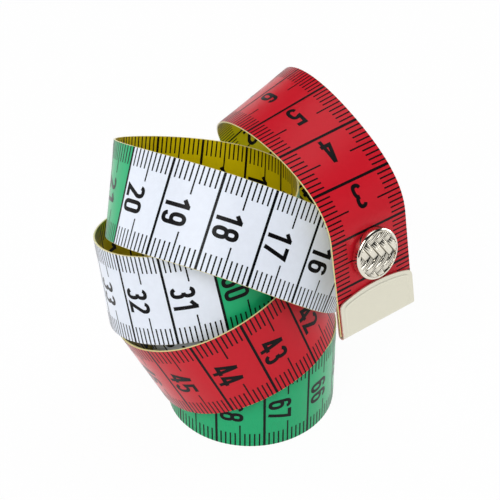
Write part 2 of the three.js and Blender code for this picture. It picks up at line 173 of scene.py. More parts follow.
class SmoothCurve:
    """A curve with continuous curvature through places, with a given slope at both ends."""

    def __init__(self, knots: Array, values: Array, first: Array, last: Array) -> None:
        """Works out the slopes at the knots.

        Args:
            knots: Distances of the places.
            values: The places, one row each.
            first: Slope at the first place.
            last: Slope at the last place.
        """
        self.knots = knots
        self.values = values
        count = len(knots)
        system = np.eye(count)
        wanted = np.zeros_like(values)
        wanted[0], wanted[-1] = first, last
        for i in range(1, count - 1):
            before, after = knots[i] - knots[i - 1], knots[i + 1] - knots[i]
            system[i, i - 1 : i + 2] = 1 / before, 2 / before + 2 / after, 1 / after
            rise_before = (values[i] - values[i - 1]) / before**2
            rise_after = (values[i + 1] - values[i]) / after**2
            wanted[i] = 3 * rise_before + 3 * rise_after
        self.slopes = np.linalg.solve(system, wanted)

    def at(self, along: Array) -> Array:
        """Works out points on the curve.

        Args:
            along: Distances of the points.

        Returns:
            The points, one row each.
        """
        i = np.clip(np.searchsorted(self.knots, along, side="right") - 1, 0, len(self.knots) - 2)
        span = (self.knots[i + 1] - self.knots[i])[:, None]
        u = (along[:, None] - self.knots[i][:, None]) / span
        return (
            self.values[i] * (2 * u**3 - 3 * u**2 + 1)
            + self.slopes[i] * span * (u**3 - 2 * u**2 + u)
            + self.values[i + 1] * (3 * u**2 - 2 * u**3)
            + self.slopes[i + 1] * span * (u**3 - u**2)
        )


@dataclass
class TapeRoute:
    """The way the tape lies, in millimetres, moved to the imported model's frame.

    The loose turns follow the list of chosen places. The core is a spiral, and the inner end turns in
    from it as a flat flap.
    """

    length: float = 1500.0
    width: float = 19.0
    thickness: float = 0.35
    core_start: float = 620.0
    core_inner_radius: float = 9.1
    core_pitch: float = 0.9
    core_start_angle: float = math.radians(168.7)
    core_centre: Point = (-0.65, 0.75)
    core_angle_step: float = math.radians(15)
    inner_flat: float = 10.0
    inner_turn: float = math.radians(50)
    inner_bend: float = 1.6
    stud_place: float = 115.0
    stud_flat: float = 11.0
    stud_ease: float = 3.0
    hinge_place: float = 58.0
    slope_step: float = 0.01
    tangent_reach: float = 0.05
    origin: Corner = (0.0, 0.0, 0.0)

    def __post_init__(self) -> None:
        """Works out the core and the smooth curves of the loose turns."""
        self.rate = self.core_pitch / (2 * math.pi)
        wound = self.length - self.core_start - self.inner_flat
        self.core_radius = math.sqrt(self.core_inner_radius**2 + 2 * self.rate * wound)
        most_turned = self._core_turned(np.array(self.length - self.inner_flat))
        turned = math.floor(most_turned / self.core_angle_step) * self.core_angle_step
        self.core_end = self.core_start + self.core_radius * turned - self.rate * turned**2 / 2
        places = ROUTE[1:]
        self.straight = float(places[0][0])
        knots = np.array([place[0] for place in places] + [self.core_start], float)
        core_first = self._core_middle(np.array([self.core_start]))
        middles = np.vstack([np.array([place[1] for place in places], float), core_first])
        sides = unit(np.array([place[2] for place in places] + [(0, 0, 1)], float))
        self.lead_slope = (middles[0] - np.array(ROUTE[0][1], float)) / self.straight
        core_second = self._core_middle(np.array([self.core_start + self.slope_step]))
        core_slope = (core_second - core_first)[0] / self.slope_step
        self._middle_curve = SmoothCurve(knots, middles, self.lead_slope, core_slope)
        self._side_curve = SmoothCurve(knots, sides, np.zeros(3), np.zeros(3))

    def _core_turned(self, along: Array) -> Array:
        """Returns the angle that the core has turned through at the given distances."""
        radius = np.sqrt(self.core_radius**2 - 2 * self.rate * (along - self.core_start))
        return (self.core_radius - radius) / self.rate

    def _core_middle(self, along: Array) -> Array:
        """Works out points on the middle of the core's spiral.

        Args:
            along: Distances from the zero end.

        Returns:
            The points, one row each.
        """
        turned = self._core_turned(along)
        radius = self.core_radius - self.rate * turned
        angle = self.core_start_angle - turned
        x = self.core_centre[0] + radius * np.sin(angle)
        y = self.core_centre[1] - radius * np.cos(angle)
        return row_of(x, y, self.width / 2)

    def _flap_middle(self, along: Array) -> Array:
        """Works out points on the core and on the flap that leaves it in a short bend.

        Args:
            along: Distances from the zero end, in the core or past it.

        Returns:
            The points, one row each.
        """
        end = np.array([self.core_end])
        corner = self._core_middle(end)[0]
        tangent = unit(corner - self._core_middle(end - self.slope_step)[0])
        inward = np.array([tangent[1], -tangent[0], 0.0])
        direction = math.cos(self.inner_turn) * tangent + math.sin(self.inner_turn) * inward
        beyond = (along - self.core_end)[:, None]
        wound = self._core_middle(np.minimum(along, self.core_end))
        sharp = np.where(beyond < 0, wound, corner + beyond * direction)
        bend = self.inner_bend
        before = self._core_middle(end - bend)[0]
        after = corner + bend * direction
        u = np.clip((beyond + bend) / (2 * bend), 0, 1)
        eased = (1 - u) ** 2 * before + 2 * u * (1 - u) * corner + u**2 * after
        return np.where(np.abs(beyond) < bend, eased, sharp)

    def _loose_middle(self, along: Array) -> Array:
        """Works out points on the loose turns, straight at the zero end and flat under the stud.

        Args:
            along: Distances from the zero end, up to the core.

        Returns:
            The points, one row each.
        """
        near = np.maximum(along, self.straight)
        curved = self._middle_curve.at(near) + (along - near)[:, None] * self.lead_slope
        half = self.stud_flat / 2
        ends = self._middle_curve.at(np.array([self.stud_place - half, self.stud_place + half]))
        share = ((along - self.stud_place + half) / self.stud_flat)[:, None]
        chord = ends[0] + share * (ends[1] - ends[0])
        distance = np.abs(along - self.stud_place)
        away = smoothstep(half - self.stud_ease / 2, half + self.stud_ease, distance)[:, None]
        return away * curved + (1 - away) * chord

    def middle(self, along: Array) -> Array:
        """Works out the middle of the tape in the frame.

        Args:
            along: Distances from the zero end.

        Returns:
            The points, one row each.
        """
        along = np.asarray(along, float)
        loose = self._loose_middle(np.minimum(along, self.core_start))
        wound = self._flap_middle(np.maximum(along, self.core_start))
        return np.where((along < self.core_start)[:, None], loose, wound) + np.array(self.origin)

    def frames(self, along: Array) -> tuple[Array, Array, Array, Array]:
        """Works out the tape's own axes.

        Args:
            along: Distances from the zero end.

        Returns:
            The middle, the direction along, the direction to the lower edge and the printed side's normal.
        """
        along = np.asarray(along, float)
        low = np.maximum(along - self.tangent_reach, 0)
        high = np.minimum(along + self.tangent_reach, self.length)
        tangent = unit(self.middle(high) - self.middle(low))
        across = self._side_curve.at(np.clip(along, self.straight, self.core_start))
        across = unit(across - np.sum(across * tangent, axis=1, keepdims=True) * tangent)
        return self.middle(along), tangent, -across, np.cross(across, tangent)

    def place(self, along: float, turned_back: bool = False) -> Matrix:
        """Works out the axes of a metal piece: x along the tape, z out of its printed side.

        Args:
            along: Distance from the zero end.
            turned_back: Whether x points toward the zero end.

        Returns:
            The place in metres.
        """
        middle, tangent, _, normal = (row[0] for row in self.frames(np.array([along])))
        forward = -tangent if turned_back else tangent
        sideways = np.cross(normal, forward)
        turn = np.column_stack([forward, sideways, normal])
        place = Matrix.Identity(4)
        for row in range(3):
            place[row][:3] = turn[row]
            place[row][3] = middle[row] * MM
        return place


def route_in_frame(frame: dict) -> TapeRoute:
    """Moves the route so that the hinge at the top of the curl lies where the frame has it.


    Returns:
        The route in the frame.
    """
    bare = TapeRoute()
    hinge = np.array(frame["joints"][0]["pos_m"]) / MM
    offset = hinge - bare.middle(np.array([bare.hinge_place]))[0]
    return TapeRoute(origin=tuple(float(value) for value in offset))


# Node trees and meshes

GEOMETRY_TREE = "GeometryNodeTree"
SHADER_TREE = "ShaderNodeTree"
GEOMETRY = ("Geometry", "NodeSocketGeometry")
PATH = ("Path", "NodeSocketObject")
INK = ("Ink", "NodeSocketMaterial")


class Graph:
    """A node tree with short ways to add nodes, sums and links."""

    def __init__(self, tree: Tree) -> None:
        """Keeps the tree that nodes are added to."""
        self.tree = tree

    def feed(self, socket: Socket, value: object) -> None:
        """Links a socket, or sets its value.

        Args:
            socket: The input.
            value: The output to link it to, or the value to set.
        """
        if isinstance(value, Socket):
            self.tree.links.new(value, socket)
        else:
            socket.default_value = value

    def node(
        self, kind: str, inputs: dict[str | int, object] | None = None, **settings: object
    ) -> bpy.types.Node:
        """Adds a node.

        Args:
            kind: Blender's name of the node type.
            inputs: Values or sockets for its inputs, by name or number.
            settings: The node's own settings.

        Returns:
            The new node.
        """
        made = self.tree.nodes.new(kind)
        for name, value in settings.items():
            setattr(made, name, value)
        for name, value in (inputs or {}).items():
            self.feed(made.inputs[name], value)
        return made

    def math(self, operation: str, first: object, second: object = 0.0, third: object = 0.0) -> Socket:
        """Returns the result of a sum of up to three numbers."""
        made = self.node("ShaderNodeMath", {0: first, 1: second, 2: third}, operation=operation)
        return made.outputs[0]

    def vector(self, operation: str, first: Socket, inputs: dict[str | int, object]) -> Socket:
        """Returns the result of a sum of vectors, with what else it needs by name or number."""
        return self.node("ShaderNodeVectorMath", {0: first, **inputs}, operation=operation).outputs[0]


def new_group(
    name: str, kind: str, inputs: Iterable[tuple[str, str]], outputs: Iterable[tuple[str, str]]
) -> Graph:
    """Makes a node group with named sockets.

    Args:
        name: The group's name.
        kind: Blender's name of the tree type.
        inputs: Name and type of each input.
        outputs: Name and type of each output.

    Returns:
        The graph of the new group.
    """
    tree = bpy.data.node_groups.new(name, kind)
    for direction, sockets in (("INPUT", inputs), ("OUTPUT", outputs)):
        for label, socket in sockets:
            tree.interface.new_socket(name=label, in_out=direction, socket_type=socket)
    return Graph(tree)


class PathSheet:
    """The route as a row of points that the node trees read, one every half millimetre."""

    STEP = 0.5

    def __init__(self, route: TapeRoute) -> None:
        """Makes the row of points and the group that lays flat drawings on it.

        Args:
            route: The way the tape lies.
        """
        along = np.arange(0, route.length + self.STEP, self.STEP)
        middle, _, side, normal = route.frames(along)
        mesh = bpy.data.meshes.new("tape_path")
        mesh.from_pydata((middle * MM).tolist(), [], [])
        for name, rows in (("side", side), ("normal_out", normal)):
            attribute = mesh.attributes.new(name, "FLOAT_VECTOR", "POINT")
            attribute.data.foreach_set("vector", rows.astype(np.float32).ravel())
        self.object = bpy.data.objects.new("tape_path", mesh)
        self.group = self._lay_group()

    def _lay_group(self) -> Tree:
        """Builds the group that moves a flat drawing onto the route.

        Returns:
            The group's tree.
        """
        graph = new_group("lay_on_tape", GEOMETRY_TREE, [GEOMETRY, PATH], [GEOMETRY])
        given = graph.node("NodeGroupInput").outputs
        path = graph.node("GeometryNodeObjectInfo", {"Object": given["Path"]}, transform_space="ORIGINAL")
        flat = graph.node("ShaderNodeSeparateXYZ", {0: graph.node("GeometryNodeInputPosition").outputs[0]})
        station = graph.math("DIVIDE", flat.outputs["X"], self.STEP * MM)
        first = graph.math("FLOOR", station)
        share = graph.math("SUBTRACT", station, first)
        second = graph.math("ADD", first, 1.0)

        def sampled(field: Socket) -> Socket:
            """Adds the reading of a field of the path between its two nearest points.

            Args:
                field: The field.

            Returns:
                Its value at each point of the drawing.
            """
            ends = [
                graph.node(
                    "GeometryNodeSampleIndex",
                    {"Geometry": path.outputs["Geometry"], "Value": field, "Index": index},
                    data_type="FLOAT_VECTOR",
                    domain="POINT",
                    clamp=True,
                ).outputs["Value"]
                for index in (first, second)
            ]
            span = graph.vector("SUBTRACT", ends[1], {1: ends[0]})
            return graph.vector("ADD", ends[0], {1: graph.vector("SCALE", span, {"Scale": share})})

        def stored(name: str) -> Socket:
            """Returns a direction that the path's points carry."""
            made = graph.node("GeometryNodeInputNamedAttribute", {"Name": name}, data_type="FLOAT_VECTOR")
            return made.outputs["Attribute"]

        middle = sampled(graph.node("GeometryNodeInputPosition").outputs[0])
        sideways = graph.vector("SCALE", sampled(stored("side")), {"Scale": flat.outputs["Y"]})
        upward = graph.vector("SCALE", sampled(stored("normal_out")), {"Scale": flat.outputs["Z"]})
        laid = graph.vector("ADD", graph.vector("ADD", middle, {1: sideways}), {1: upward})
        moved = graph.node("GeometryNodeSetPosition", {"Geometry": given["Geometry"], "Position": laid})
        graph.node("NodeGroupOutput", {"Geometry": moved.outputs[0]})
        return graph.tree

    def laid(self, graph: Graph, drawing: Socket, path: Socket) -> Socket:
        """Adds the laying group to a tree.

        Args:
            graph: The tree.
            drawing: The flat drawing.
            path: The tree's input for the row of points.

        Returns:
            The laid geometry.
        """
        made = graph.node("GeometryNodeGroup", node_tree=self.group)
        graph.feed(made.inputs["Geometry"], drawing)
        graph.feed(made.inputs["Path"], path)
        return made.outputs["Geometry"]


def add_to_scene(name: str, data: bpy.types.ID) -> bpy.types.Object:
    """Makes an object and links it to the scene.

    Args:
        name: Name of the object.
        data: Its mesh, lamp or camera.

    Returns:
        The new object.
    """
    made = bpy.data.objects.new(name, data)
    bpy.context.scene.collection.objects.link(made)
    return made


def plain_mesh(name: str, tree: Tree, values: dict[str, object], start: Mesh) -> Piece:
    """Runs a Geometry Nodes tree and keeps its result as a plain mesh.

    Args:
        name: Name of the finished piece.
        tree: The tree to run.
        values: The tree's inputs by name.
        start: The mesh that the tree starts from.

    Returns:
        The finished piece, with no modifier left.
    """
    piece = add_to_scene(name, start)
    modifier = piece.modifiers.new("build", "NODES")
    modifier.node_group = tree
    for item in tree.interface.items_tree:
        if item.item_type == "SOCKET" and item.in_out == "INPUT" and item.name in values:
            modifier[item.identifier] = values[item.name]
    depsgraph = bpy.context.evaluated_depsgraph_get()
    made = bpy.data.meshes.new_from_object(
        piece.evaluated_get(depsgraph), preserve_all_data_layers=True, depsgraph=depsgraph
    )
    piece.modifiers.remove(modifier)
    piece.data = made
    made.name = name
    return piece


def smooth_to(mesh: Mesh, degrees: float) -> None:
    """Shades a mesh smoothly, apart from edges sharper than an angle."""
    mesh.shade_smooth()
    mesh.set_sharp_from_angle(angle=math.radians(degrees))


def mesh_piece(name: str, verts: Array, faces: Sequence[Sequence[int]], smooth_angle: float) -> Piece:
    """Makes a closed piece from points in metres.

    Args:
        name: Name of the piece.
        verts: Its points.
        faces: Its faces.
        smooth_angle: Edges sharper than this, in degrees, stay sharp.

    Returns:
        The new piece, in the scene.
    """
    same_place = 1e-7
    mesh = bpy.data.meshes.new(name)
    mesh.from_pydata(np.asarray(verts, float).tolist(), [], [list(face) for face in faces])
    work = bmesh.new()
    work.from_mesh(mesh)
    bmesh.ops.remove_doubles(work, verts=work.verts, dist=same_place)
    bmesh.ops.recalc_face_normals(work, faces=work.faces)
    work.to_mesh(mesh)
    work.free()
    smooth_to(mesh, smooth_angle)
    return add_to_scene(name, mesh)


def mesh_places(mesh: Mesh) -> Array:
    """Reads the points of a mesh.

    Args:
        mesh: The mesh.

    Returns:
        Its points, one row each.
    """
    places = np.zeros(len(mesh.vertices) * 3, np.float32)
    mesh.vertices.foreach_get("co", places)
    return places.reshape(-1, 3)


# Finishes


class Effects:
    """Shader groups that several finishes share."""

    NOISE_DETAIL = 5.0
    NOISE_ROUGHNESS = 0.6

    def __init__(self) -> None:
        """Builds the groups once."""
        self.weave = self._weave()
        self.mottle = self._mottle()

    @staticmethod
    def _weave() -> Tree:
        """Builds the plain weave that shows through the coating, on the band's UV map in centimetres.

        Returns:
            The group's tree.
        """
        number = "NodeSocketFloat"
        graph = new_group("coated_weave", SHADER_TREE, [("Threads", number)], [("Height", number)])
        given = graph.node("NodeGroupInput").outputs
        flat = graph.node("ShaderNodeUVMap", uv_map="flat").outputs[0]
        cross = graph.node("ShaderNodeSeparateXYZ", {0: flat}).outputs
        turns = graph.math("MULTIPLY", given["Threads"], 2 * math.pi)
        warp = graph.math("SINE", graph.math("MULTIPLY", cross["X"], turns))
        weft = graph.math("SINE", graph.math("MULTIPLY", cross["Y"], turns))
        half = 0.5
        height = graph.math("MULTIPLY_ADD", graph.math("MULTIPLY", warp, weft), half, half)
        graph.node("NodeGroupOutput", {"Height": height})
        return graph.tree

    @classmethod
    def _mottle(cls) -> Tree:
        """Builds the uneven tone and gloss of a used surface.

        Returns:
            The group's tree.
        """
        number, paint = "NodeSocketFloat", ("Color", "NodeSocketColor")
        graph = new_group(
            "surface_mottle",
            SHADER_TREE,
            [paint, ("Scale", number), ("Tone", number), ("Gloss", number), ("Gloss Range", number)],
            [paint, ("Roughness", number), ("Grain", number)],
        )
        given = graph.node("NodeGroupInput").outputs
        noise = graph.node(
            "ShaderNodeTexNoise",
            {
                "Vector": graph.node("ShaderNodeTexCoord").outputs["Object"],
                "Scale": given["Scale"],
                "Detail": cls.NOISE_DETAIL,
                "Roughness": cls.NOISE_ROUGHNESS,
            },
        ).outputs[0]
        half = 0.5
        centred = graph.math("SUBTRACT", noise, half)
        value = graph.math("MULTIPLY_ADD", centred, given["Tone"], 1.0)
        toned = graph.node(
            "ShaderNodeHueSaturation", {"Color": given["Color"], "Value": value, "Saturation": 1.0}
        )
        rough = graph.math("MULTIPLY_ADD", centred, given["Gloss Range"], given["Gloss"])
        graph.node("NodeGroupOutput", {"Color": toned.outputs[0], "Roughness": rough, "Grain": noise})
        return graph.tree


@dataclass(frozen=True)
class Finish:
    """A finish with uneven tone and gloss, a fine relief, and painted shade in deep grooves where a recess
    shade colour is given.
    """

    name: str
    colour: Paint
    gloss: float
    gloss_range: float
    metallic: float = 0.0
    tone: float = 0.1
    mottle_scale: float = 900.0
    relief: float = 0.0
    threads: float = 0.0
    specular: float = 0.5
    sheen: float = 0.0
    sheen_spread: float = 0.3
    # Dark colour painted into deep grooves as shade, or None
    recess: Paint | None = None

    def material(self, effects: Effects) -> Material:
        """Builds the finish as a node material.

        Args:
            effects: The shared shader groups.

        Returns:
            The material.
        """
        made = bpy.data.materials.new(self.name)
        made.use_nodes = True
        made.diffuse_color = self.colour
        graph = Graph(made.node_tree)
        shader = made.node_tree.nodes["Principled BSDF"]
        shader.inputs["Metallic"].default_value = self.metallic
        shader.inputs["Specular IOR Level"].default_value = self.specular
        shader.inputs["Sheen Weight"].default_value = self.sheen
        shader.inputs["Sheen Roughness"].default_value = self.sheen_spread
        mottle = graph.node("ShaderNodeGroup", node_tree=effects.mottle)
        for label, value in (
            ("Color", self.colour),
            ("Scale", self.mottle_scale),
            ("Tone", self.tone),
            ("Gloss", self.gloss),
            ("Gloss Range", self.gloss_range),
        ):
            mottle.inputs[label].default_value = value
        colour = mottle.outputs["Color"]
        # Painted shade: the colour is mixed toward the dark recess colour by the stored groove depth
        if self.recess:
            depth = graph.node("ShaderNodeAttribute", attribute_name="recess").outputs["Fac"]
            mixed = graph.node("ShaderNodeMix", {0: depth, 6: colour, 7: self.recess}, data_type="RGBA")
            colour = mixed.outputs[2]
        graph.feed(shader.inputs["Base Color"], colour)
        graph.feed(shader.inputs["Roughness"], mottle.outputs["Roughness"])
        if self.relief:
            height = mottle.outputs["Grain"]
            if self.threads:
                weave = graph.node("ShaderNodeGroup", node_tree=effects.weave)
                weave.inputs["Threads"].default_value = self.threads
                height = weave.outputs["Height"]
            bump = graph.node(
                "ShaderNodeBump", {"Height": height, "Strength": 1.0, "Distance": self.relief}
            )
            graph.feed(shader.inputs["Normal"], bump.outputs["Normal"])
        return made


def srgb(red: int, green: int, blue: int) -> Paint:
    """Turns a screen colour into linear light.

    Args:
        red: Level of red from 0 to 255.
        green: Level of green.
        blue: Level of blue.

    Returns:
        The colour, with full cover.
    """
    levels = [value / 255 for value in (red, green, blue)]
    linear = [v / 12.92 if v <= 0.04045 else ((v + 0.055) / 1.055) ** 2.4 for v in levels]
    return (linear[0], linear[1], linear[2], 1.0)


def coated(name: str, colour: Paint, sheen: float = 0.4) -> Finish:
    """Returns the coated cloth of one printed colour."""
    return Finish(
        name,
        colour,
        gloss=0.32,
        gloss_range=0.1,
        relief=0.00001,
        threads=26.0,
        specular=0.2,
        sheen=sheen,
    )


@dataclass
class Finishes:
    """All materials of the object, made once."""

    effects: Effects

    def __post_init__(self) -> None:
        """Makes the materials."""
        cloths = {
            BandFinish.RED: coated("red_coated_cloth", srgb(199, 21, 38)),
            BandFinish.WHITE: coated("white_coated_cloth", srgb(229, 235, 246)),
            BandFinish.GREEN: coated("green_coated_cloth", srgb(28, 172, 112)),
            BandFinish.REVERSE: coated("yellow_coated_cloth", srgb(204, 184, 2), sheen=0.1),
            BandFinish.EDGE: coated("pale_cut_edge", srgb(222, 212, 150)),
        }
        self.band = {cover: cloth.material(self.effects) for cover, cloth in cloths.items()}
        ink = Finish(
            "black_ink",
            srgb(9, 8, 11),
            gloss=0.36,
            gloss_range=0.1,
            tone=0.2,
            specular=0.12,
            sheen=0.4,
        )
        tip = Finish(
            "satin_tip_plate",
            srgb(231, 228, 210),
            gloss=0.4,
            gloss_range=0.12,
            metallic=0.85,
            tone=0.06,
            relief=0.000002,
        )
        nickel = Finish(
            "bright_nickel",
            srgb(228, 223, 209),
            gloss=0.12,
            gloss_range=0.08,
            metallic=1.0,
            tone=0.06,
            relief=0.000001,
            # Painted shade: dark colour for the bottoms of the cap's grooves
            recess=srgb(70, 66, 60),
        )
        spring = Finish("spring_wire", srgb(140, 143, 148), gloss=0.3, gloss_range=0.1, metallic=1.0)
        self.ink, self.tip, self.nickel, self.spring = (
            finish.material(self.effects) for finish in (ink, tip, nickel, spring)
        )


# Band and print


@dataclass
class TapeBand:
    """A stretch of the band as a closed thin box, drawn flat and laid on the route."""

    name: str
    start: float
    end: float
    route: TapeRoute
    bevel: float = 0.07
    columns: int = 6
    block: float = 100.0
    smooth_angle: float = 35.0

    EDGE_FACES = 3

    def _section(self) -> list[Point]:
        """Draws the outline across the tape, round its bevelled edges.

        Returns:
            Distance across and height of each point.
        """
        half, rise = self.route.width / 2, self.route.thickness / 2
        flat = np.linspace(-(half - self.bevel), half - self.bevel, self.columns + 1)
        front = [(float(y), rise) for y in flat]
        reverse = [(float(y), -rise) for y in flat[::-1]]
        low = [(half, rise - self.bevel), (half, self.bevel - rise)]
        high = [(-half, self.bevel - rise), (-half, rise - self.bevel)]
        return front + low + reverse + high

    def _stations(self) -> Array:
        """Returns a distance for each whole millimetre, and both ends."""
        whole = np.arange(math.floor(self.start) + 1, math.ceil(self.end), 1.0)
        return np.concatenate([[self.start], whole, [self.end]])

    def _flat_mesh(self) -> Mesh:
        """Draws the stretch flat, with what covers each face and a UV map in centimetres.

        Returns:
            The flat drawing.
        """
        section = self._section()
        stations = self._stations()
        around = len(section)
        verts = [(s * MM, y * MM, z * MM) for s in stations for y, z in section]
        faces: Faces = []
        covers: list[int] = []
        for i in range(len(stations) - 1):
            middle = (stations[i] + stations[i + 1]) / 2
            colour = BLOCK_COLOURS[int(middle // self.block) % len(BLOCK_COLOURS)]
            here, there = i * around, (i + 1) * around
            for k in range(around):
                after = (k + 1) % around
                faces.append([here + k, there + k, there + after, here + after])
                covers.append(int(self._cover(k, colour)))
        last = (len(stations) - 1) * around
        ends = self._end_faces()
        faces += ends
        faces += [[last + k for k in reversed(face)] for face in ends]
        covers += [int(BandFinish.EDGE)] * (2 * len(ends))
        mesh = bpy.data.meshes.new(self.name)
        mesh.from_pydata(verts, [], faces)
        cover = mesh.attributes.new("cover", "INT", "FACE")
        cover.data.foreach_set("value", covers)
        add_flat_uv(mesh)
        return mesh

    def _end_faces(self) -> Faces:
        """Works out the faces that close one end, each from the front to the reverse.

        Returns:
            The faces, by the outline's points.
        """
        front, back = self.columns, 2 * self.columns + self.EDGE_FACES
        inner = [[k, k + 1, back - k - 1, back - k] for k in range(self.columns)]
        low = list(range(front, front + self.EDGE_FACES + 1))
        return [*inner, low, [back, back + 1, back + 2, 0]]

    def _cover(self, place: int, colour: BandFinish) -> BandFinish:
        """Tells what covers a face of the stretch.

        Args:
            place: The outline's point that the face starts at.
            colour: The colour of its block.

        Returns:
            What covers it.
        """
        if place < self.columns:
            return colour
        if self.columns <= place - self.EDGE_FACES < 2 * self.columns:
            return BandFinish.REVERSE
        return BandFinish.EDGE

    def build(self, path: PathSheet, finishes: Finishes) -> Piece:
        """Lays the stretch on the route.

        Args:
            path: The route for the node trees.
            finishes: The object's materials.

        Returns:
            The finished band.
        """
        names = [cover.name.title() for cover in BandFinish]
        materials = [(label, "NodeSocketMaterial") for label in names]
        graph = new_group(f"{self.name}_tree", GEOMETRY_TREE, [GEOMETRY, PATH, *materials], [GEOMETRY])
        given = graph.node("NodeGroupInput").outputs
        laid = path.laid(graph, given["Geometry"], given["Path"])
        shown = graph.node("GeometryNodeRealizeInstances", {"Geometry": laid}).outputs[0]
        stored = graph.node("GeometryNodeInputNamedAttribute", {"Name": "cover"}, data_type="INT")
        cover = stored.outputs["Attribute"]
        for kind, label in zip(BandFinish, names):
            chosen = graph.node(
                "FunctionNodeCompare", {2: cover, 3: int(kind)}, data_type="INT", operation="EQUAL"
            )
            shown = graph.node(
                "GeometryNodeSetMaterial",
                {"Geometry": shown, "Selection": chosen.outputs[0], "Material": given[label]},
            ).outputs[0]
        graph.node("NodeGroupOutput", {"Geometry": shown})
        values: dict[str, object] = {"Path": path.object}
        values.update({label: finishes.band[kind] for kind, label in zip(BandFinish, names)})
        piece = plain_mesh(self.name, graph.tree, values, self._flat_mesh())
        smooth_to(piece.data, self.smooth_angle)
        return piece


def add_flat_uv(mesh: Mesh) -> None:
    """Gives a flat drawing a UV map of its own length and width, in centimetres.

    Args:
        mesh: The flat drawing.
    """
    corners = np.zeros(len(mesh.loops), np.int32)
    mesh.loops.foreach_get("vertex_index", corners)
    flat = mesh_places(mesh)[corners, :2] / (MM_PER_CM * MM)
    layer = mesh.uv_layers.new(name="flat")
    layer.data.foreach_set("uv", flat.astype(np.float32).ravel())


@dataclass(frozen=True)
class Numerals:
    """Plain upright numerals drawn with a broad pen, in millimetres."""

    width: float = 2.45
    height: float = 4.95
    pen: float = 0.8
    gap: float = 0.45
    longest: float = 0.8
    squareness: float = 0.8
    shoulder: float = 0.95
    bowl: float = 1.28
    belly: float = 1.2
    waist: float = 0.54
    turn_step: float = 15.0
    least_steps: int = 4
    least_mitre: float = 0.4

    def _round(self, centre: Point, radii: Point, start: float, end: float) -> list[Point]:
        """Draws part of a squarish round.

        Args:
            centre: Its middle.
            radii: Its half width and half height.
            start: Angle of its first point, in degrees.
            end: Angle of its last point.

        Returns:
            Its points.
        """
        steps = max(self.least_steps, round(abs(end - start) / self.turn_step))
        angles = np.radians(np.linspace(start, end, steps + 1))
        cosine, sine = np.cos(angles), np.sin(angles)
        x = centre[0] + radii[0] * np.sign(cosine) * np.abs(cosine) ** self.squareness
        y = centre[1] + radii[1] * np.sign(sine) * np.abs(sine) ** self.squareness
        return list(zip(x.tolist(), y.tolist()))

    def strokes(self, digit: str) -> list[list[Point]]:
        """Draws one digit with the pen.

        Args:
            digit: The digit.

        Returns:
            Its strokes, with the lower left corner of the digit at the origin.
        """
        half = self.pen / 2
        left, right, middle = half, self.width - half, self.width / 2
        low, high = half, self.height - half
        foot, top = 0.0, self.height
        reach = (right - left) / 2
        end = (reach, self.shoulder)
        crown, base = (middle, high - self.shoulder), (middle, low + self.shoulder)
        waist = low + self.waist * (high - low)
        upper, upper_radii = (middle, (waist + high) / 2), (reach - 0.05, (high - waist) / 2)
        lower, lower_radii = (middle, (low + waist) / 2), (reach, (waist - low) / 2)
        bowl, belly = (middle, low + self.bowl), (middle, low + self.belly)
        zero = self._round(crown, end, 0, 180) + self._round(base, end, 180, 360) + [(right, crown[1])]
        stem, flag = middle + 0.35, [(left - 0.1, top - 1.3), (middle + 0.4, top - 0.28)]
        bar, post = low + 0.95, right - 0.36
        five = [(self.width - 0.1, high), (left + 0.1, high), (left + 0.04, waist - 0.1)]
        six = [
            self._round(bowl, (reach, self.bowl), 180, 540),
            self._round(crown, end, 14, 180) + [(left, bowl[1])],
        ]
        drawn = {
            "0": [zero],
            "1": [[(stem, foot), (stem, top)], flag],
            "2": [self._round(crown, end, 166, -20) + [(left + 0.08, low), (self.width, low)]],
            "3": [self._round(upper, upper_radii, 158, -90), self._round(lower, lower_radii, 90, -158)],
            "4": [
                [(right - 0.42, top), (left - 0.05, bar), (self.width, bar)],
                [(post, top), (post, foot)],
            ],
            "5": [five + self._round(belly, (reach, self.belly), 128, -158)],
            "6": six,
            "7": [[(0.0, high), (right, high), (middle - 0.3, foot)]],
            "8": [self._round(upper, upper_radii, 90, 450), self._round(lower, lower_radii, 90, 450)],
            "9": [[(self.width - x, self.height - y) for x, y in stroke] for stroke in six],
        }
        return drawn[digit]

    def outline(self, text: str) -> tuple[list[Point], Faces]:
        """Draws a number, centred on the middle of its foot.

        Args:
            text: The number's digits.

        Returns:
            Points, and faces that turn anticlockwise.
        """
        points: list[Point] = []
        faces: Faces = []
        total = len(text) * self.width + (len(text) - 1) * self.gap
        for place, digit in enumerate(text):
            shift = place * (self.width + self.gap) - total / 2
            for stroke in self.strokes(digit):
                strip = self._strip(stroke)
                starts = range(len(points), len(points) + len(strip) - 2, 2)
                points += [(x + shift, y) for x, y in strip]
                faces += [[k, k + 1, k + 3, k + 2] for k in starts]
        return points, faces

    def _strip(self, stroke: Points) -> list[Point]:
        """Widens one stroke to the pen, with mitred corners.

        Args:
            stroke: The points that the pen goes through.

        Returns:
            Points on its right and left side in turn.
        """
        fine = [stroke[0]]
        for start, end in zip(stroke, stroke[1:]):
            steps = max(1, math.ceil(math.dist(start, end) / self.longest))
            run, rise = end[0] - start[0], end[1] - start[1]
            fine += [(start[0] + run * k / steps, start[1] + rise * k / steps) for k in range(1, steps + 1)]
        line = np.array(fine)
        ahead = unit(np.diff(line, axis=0))
        closed = np.allclose(fine[0], fine[-1])
        before = np.vstack([ahead[-1] if closed else ahead[0], ahead])
        after = np.vstack([ahead, ahead[0] if closed else ahead[-1]])
        corner = unit(before + after)
        right = np.stack([corner[:, 1], -corner[:, 0]], 1)
        square = np.stack([after[:, 1], -after[:, 0]], 1)
        reach = self.pen / 2 / np.maximum(np.sum(right * square, axis=1), self.least_mitre)
        strip: list[Point] = []
        for place, side, distance in zip(line, right, reach):
            strip += [tuple(place + side * distance), tuple(place - side * distance)]
        return strip


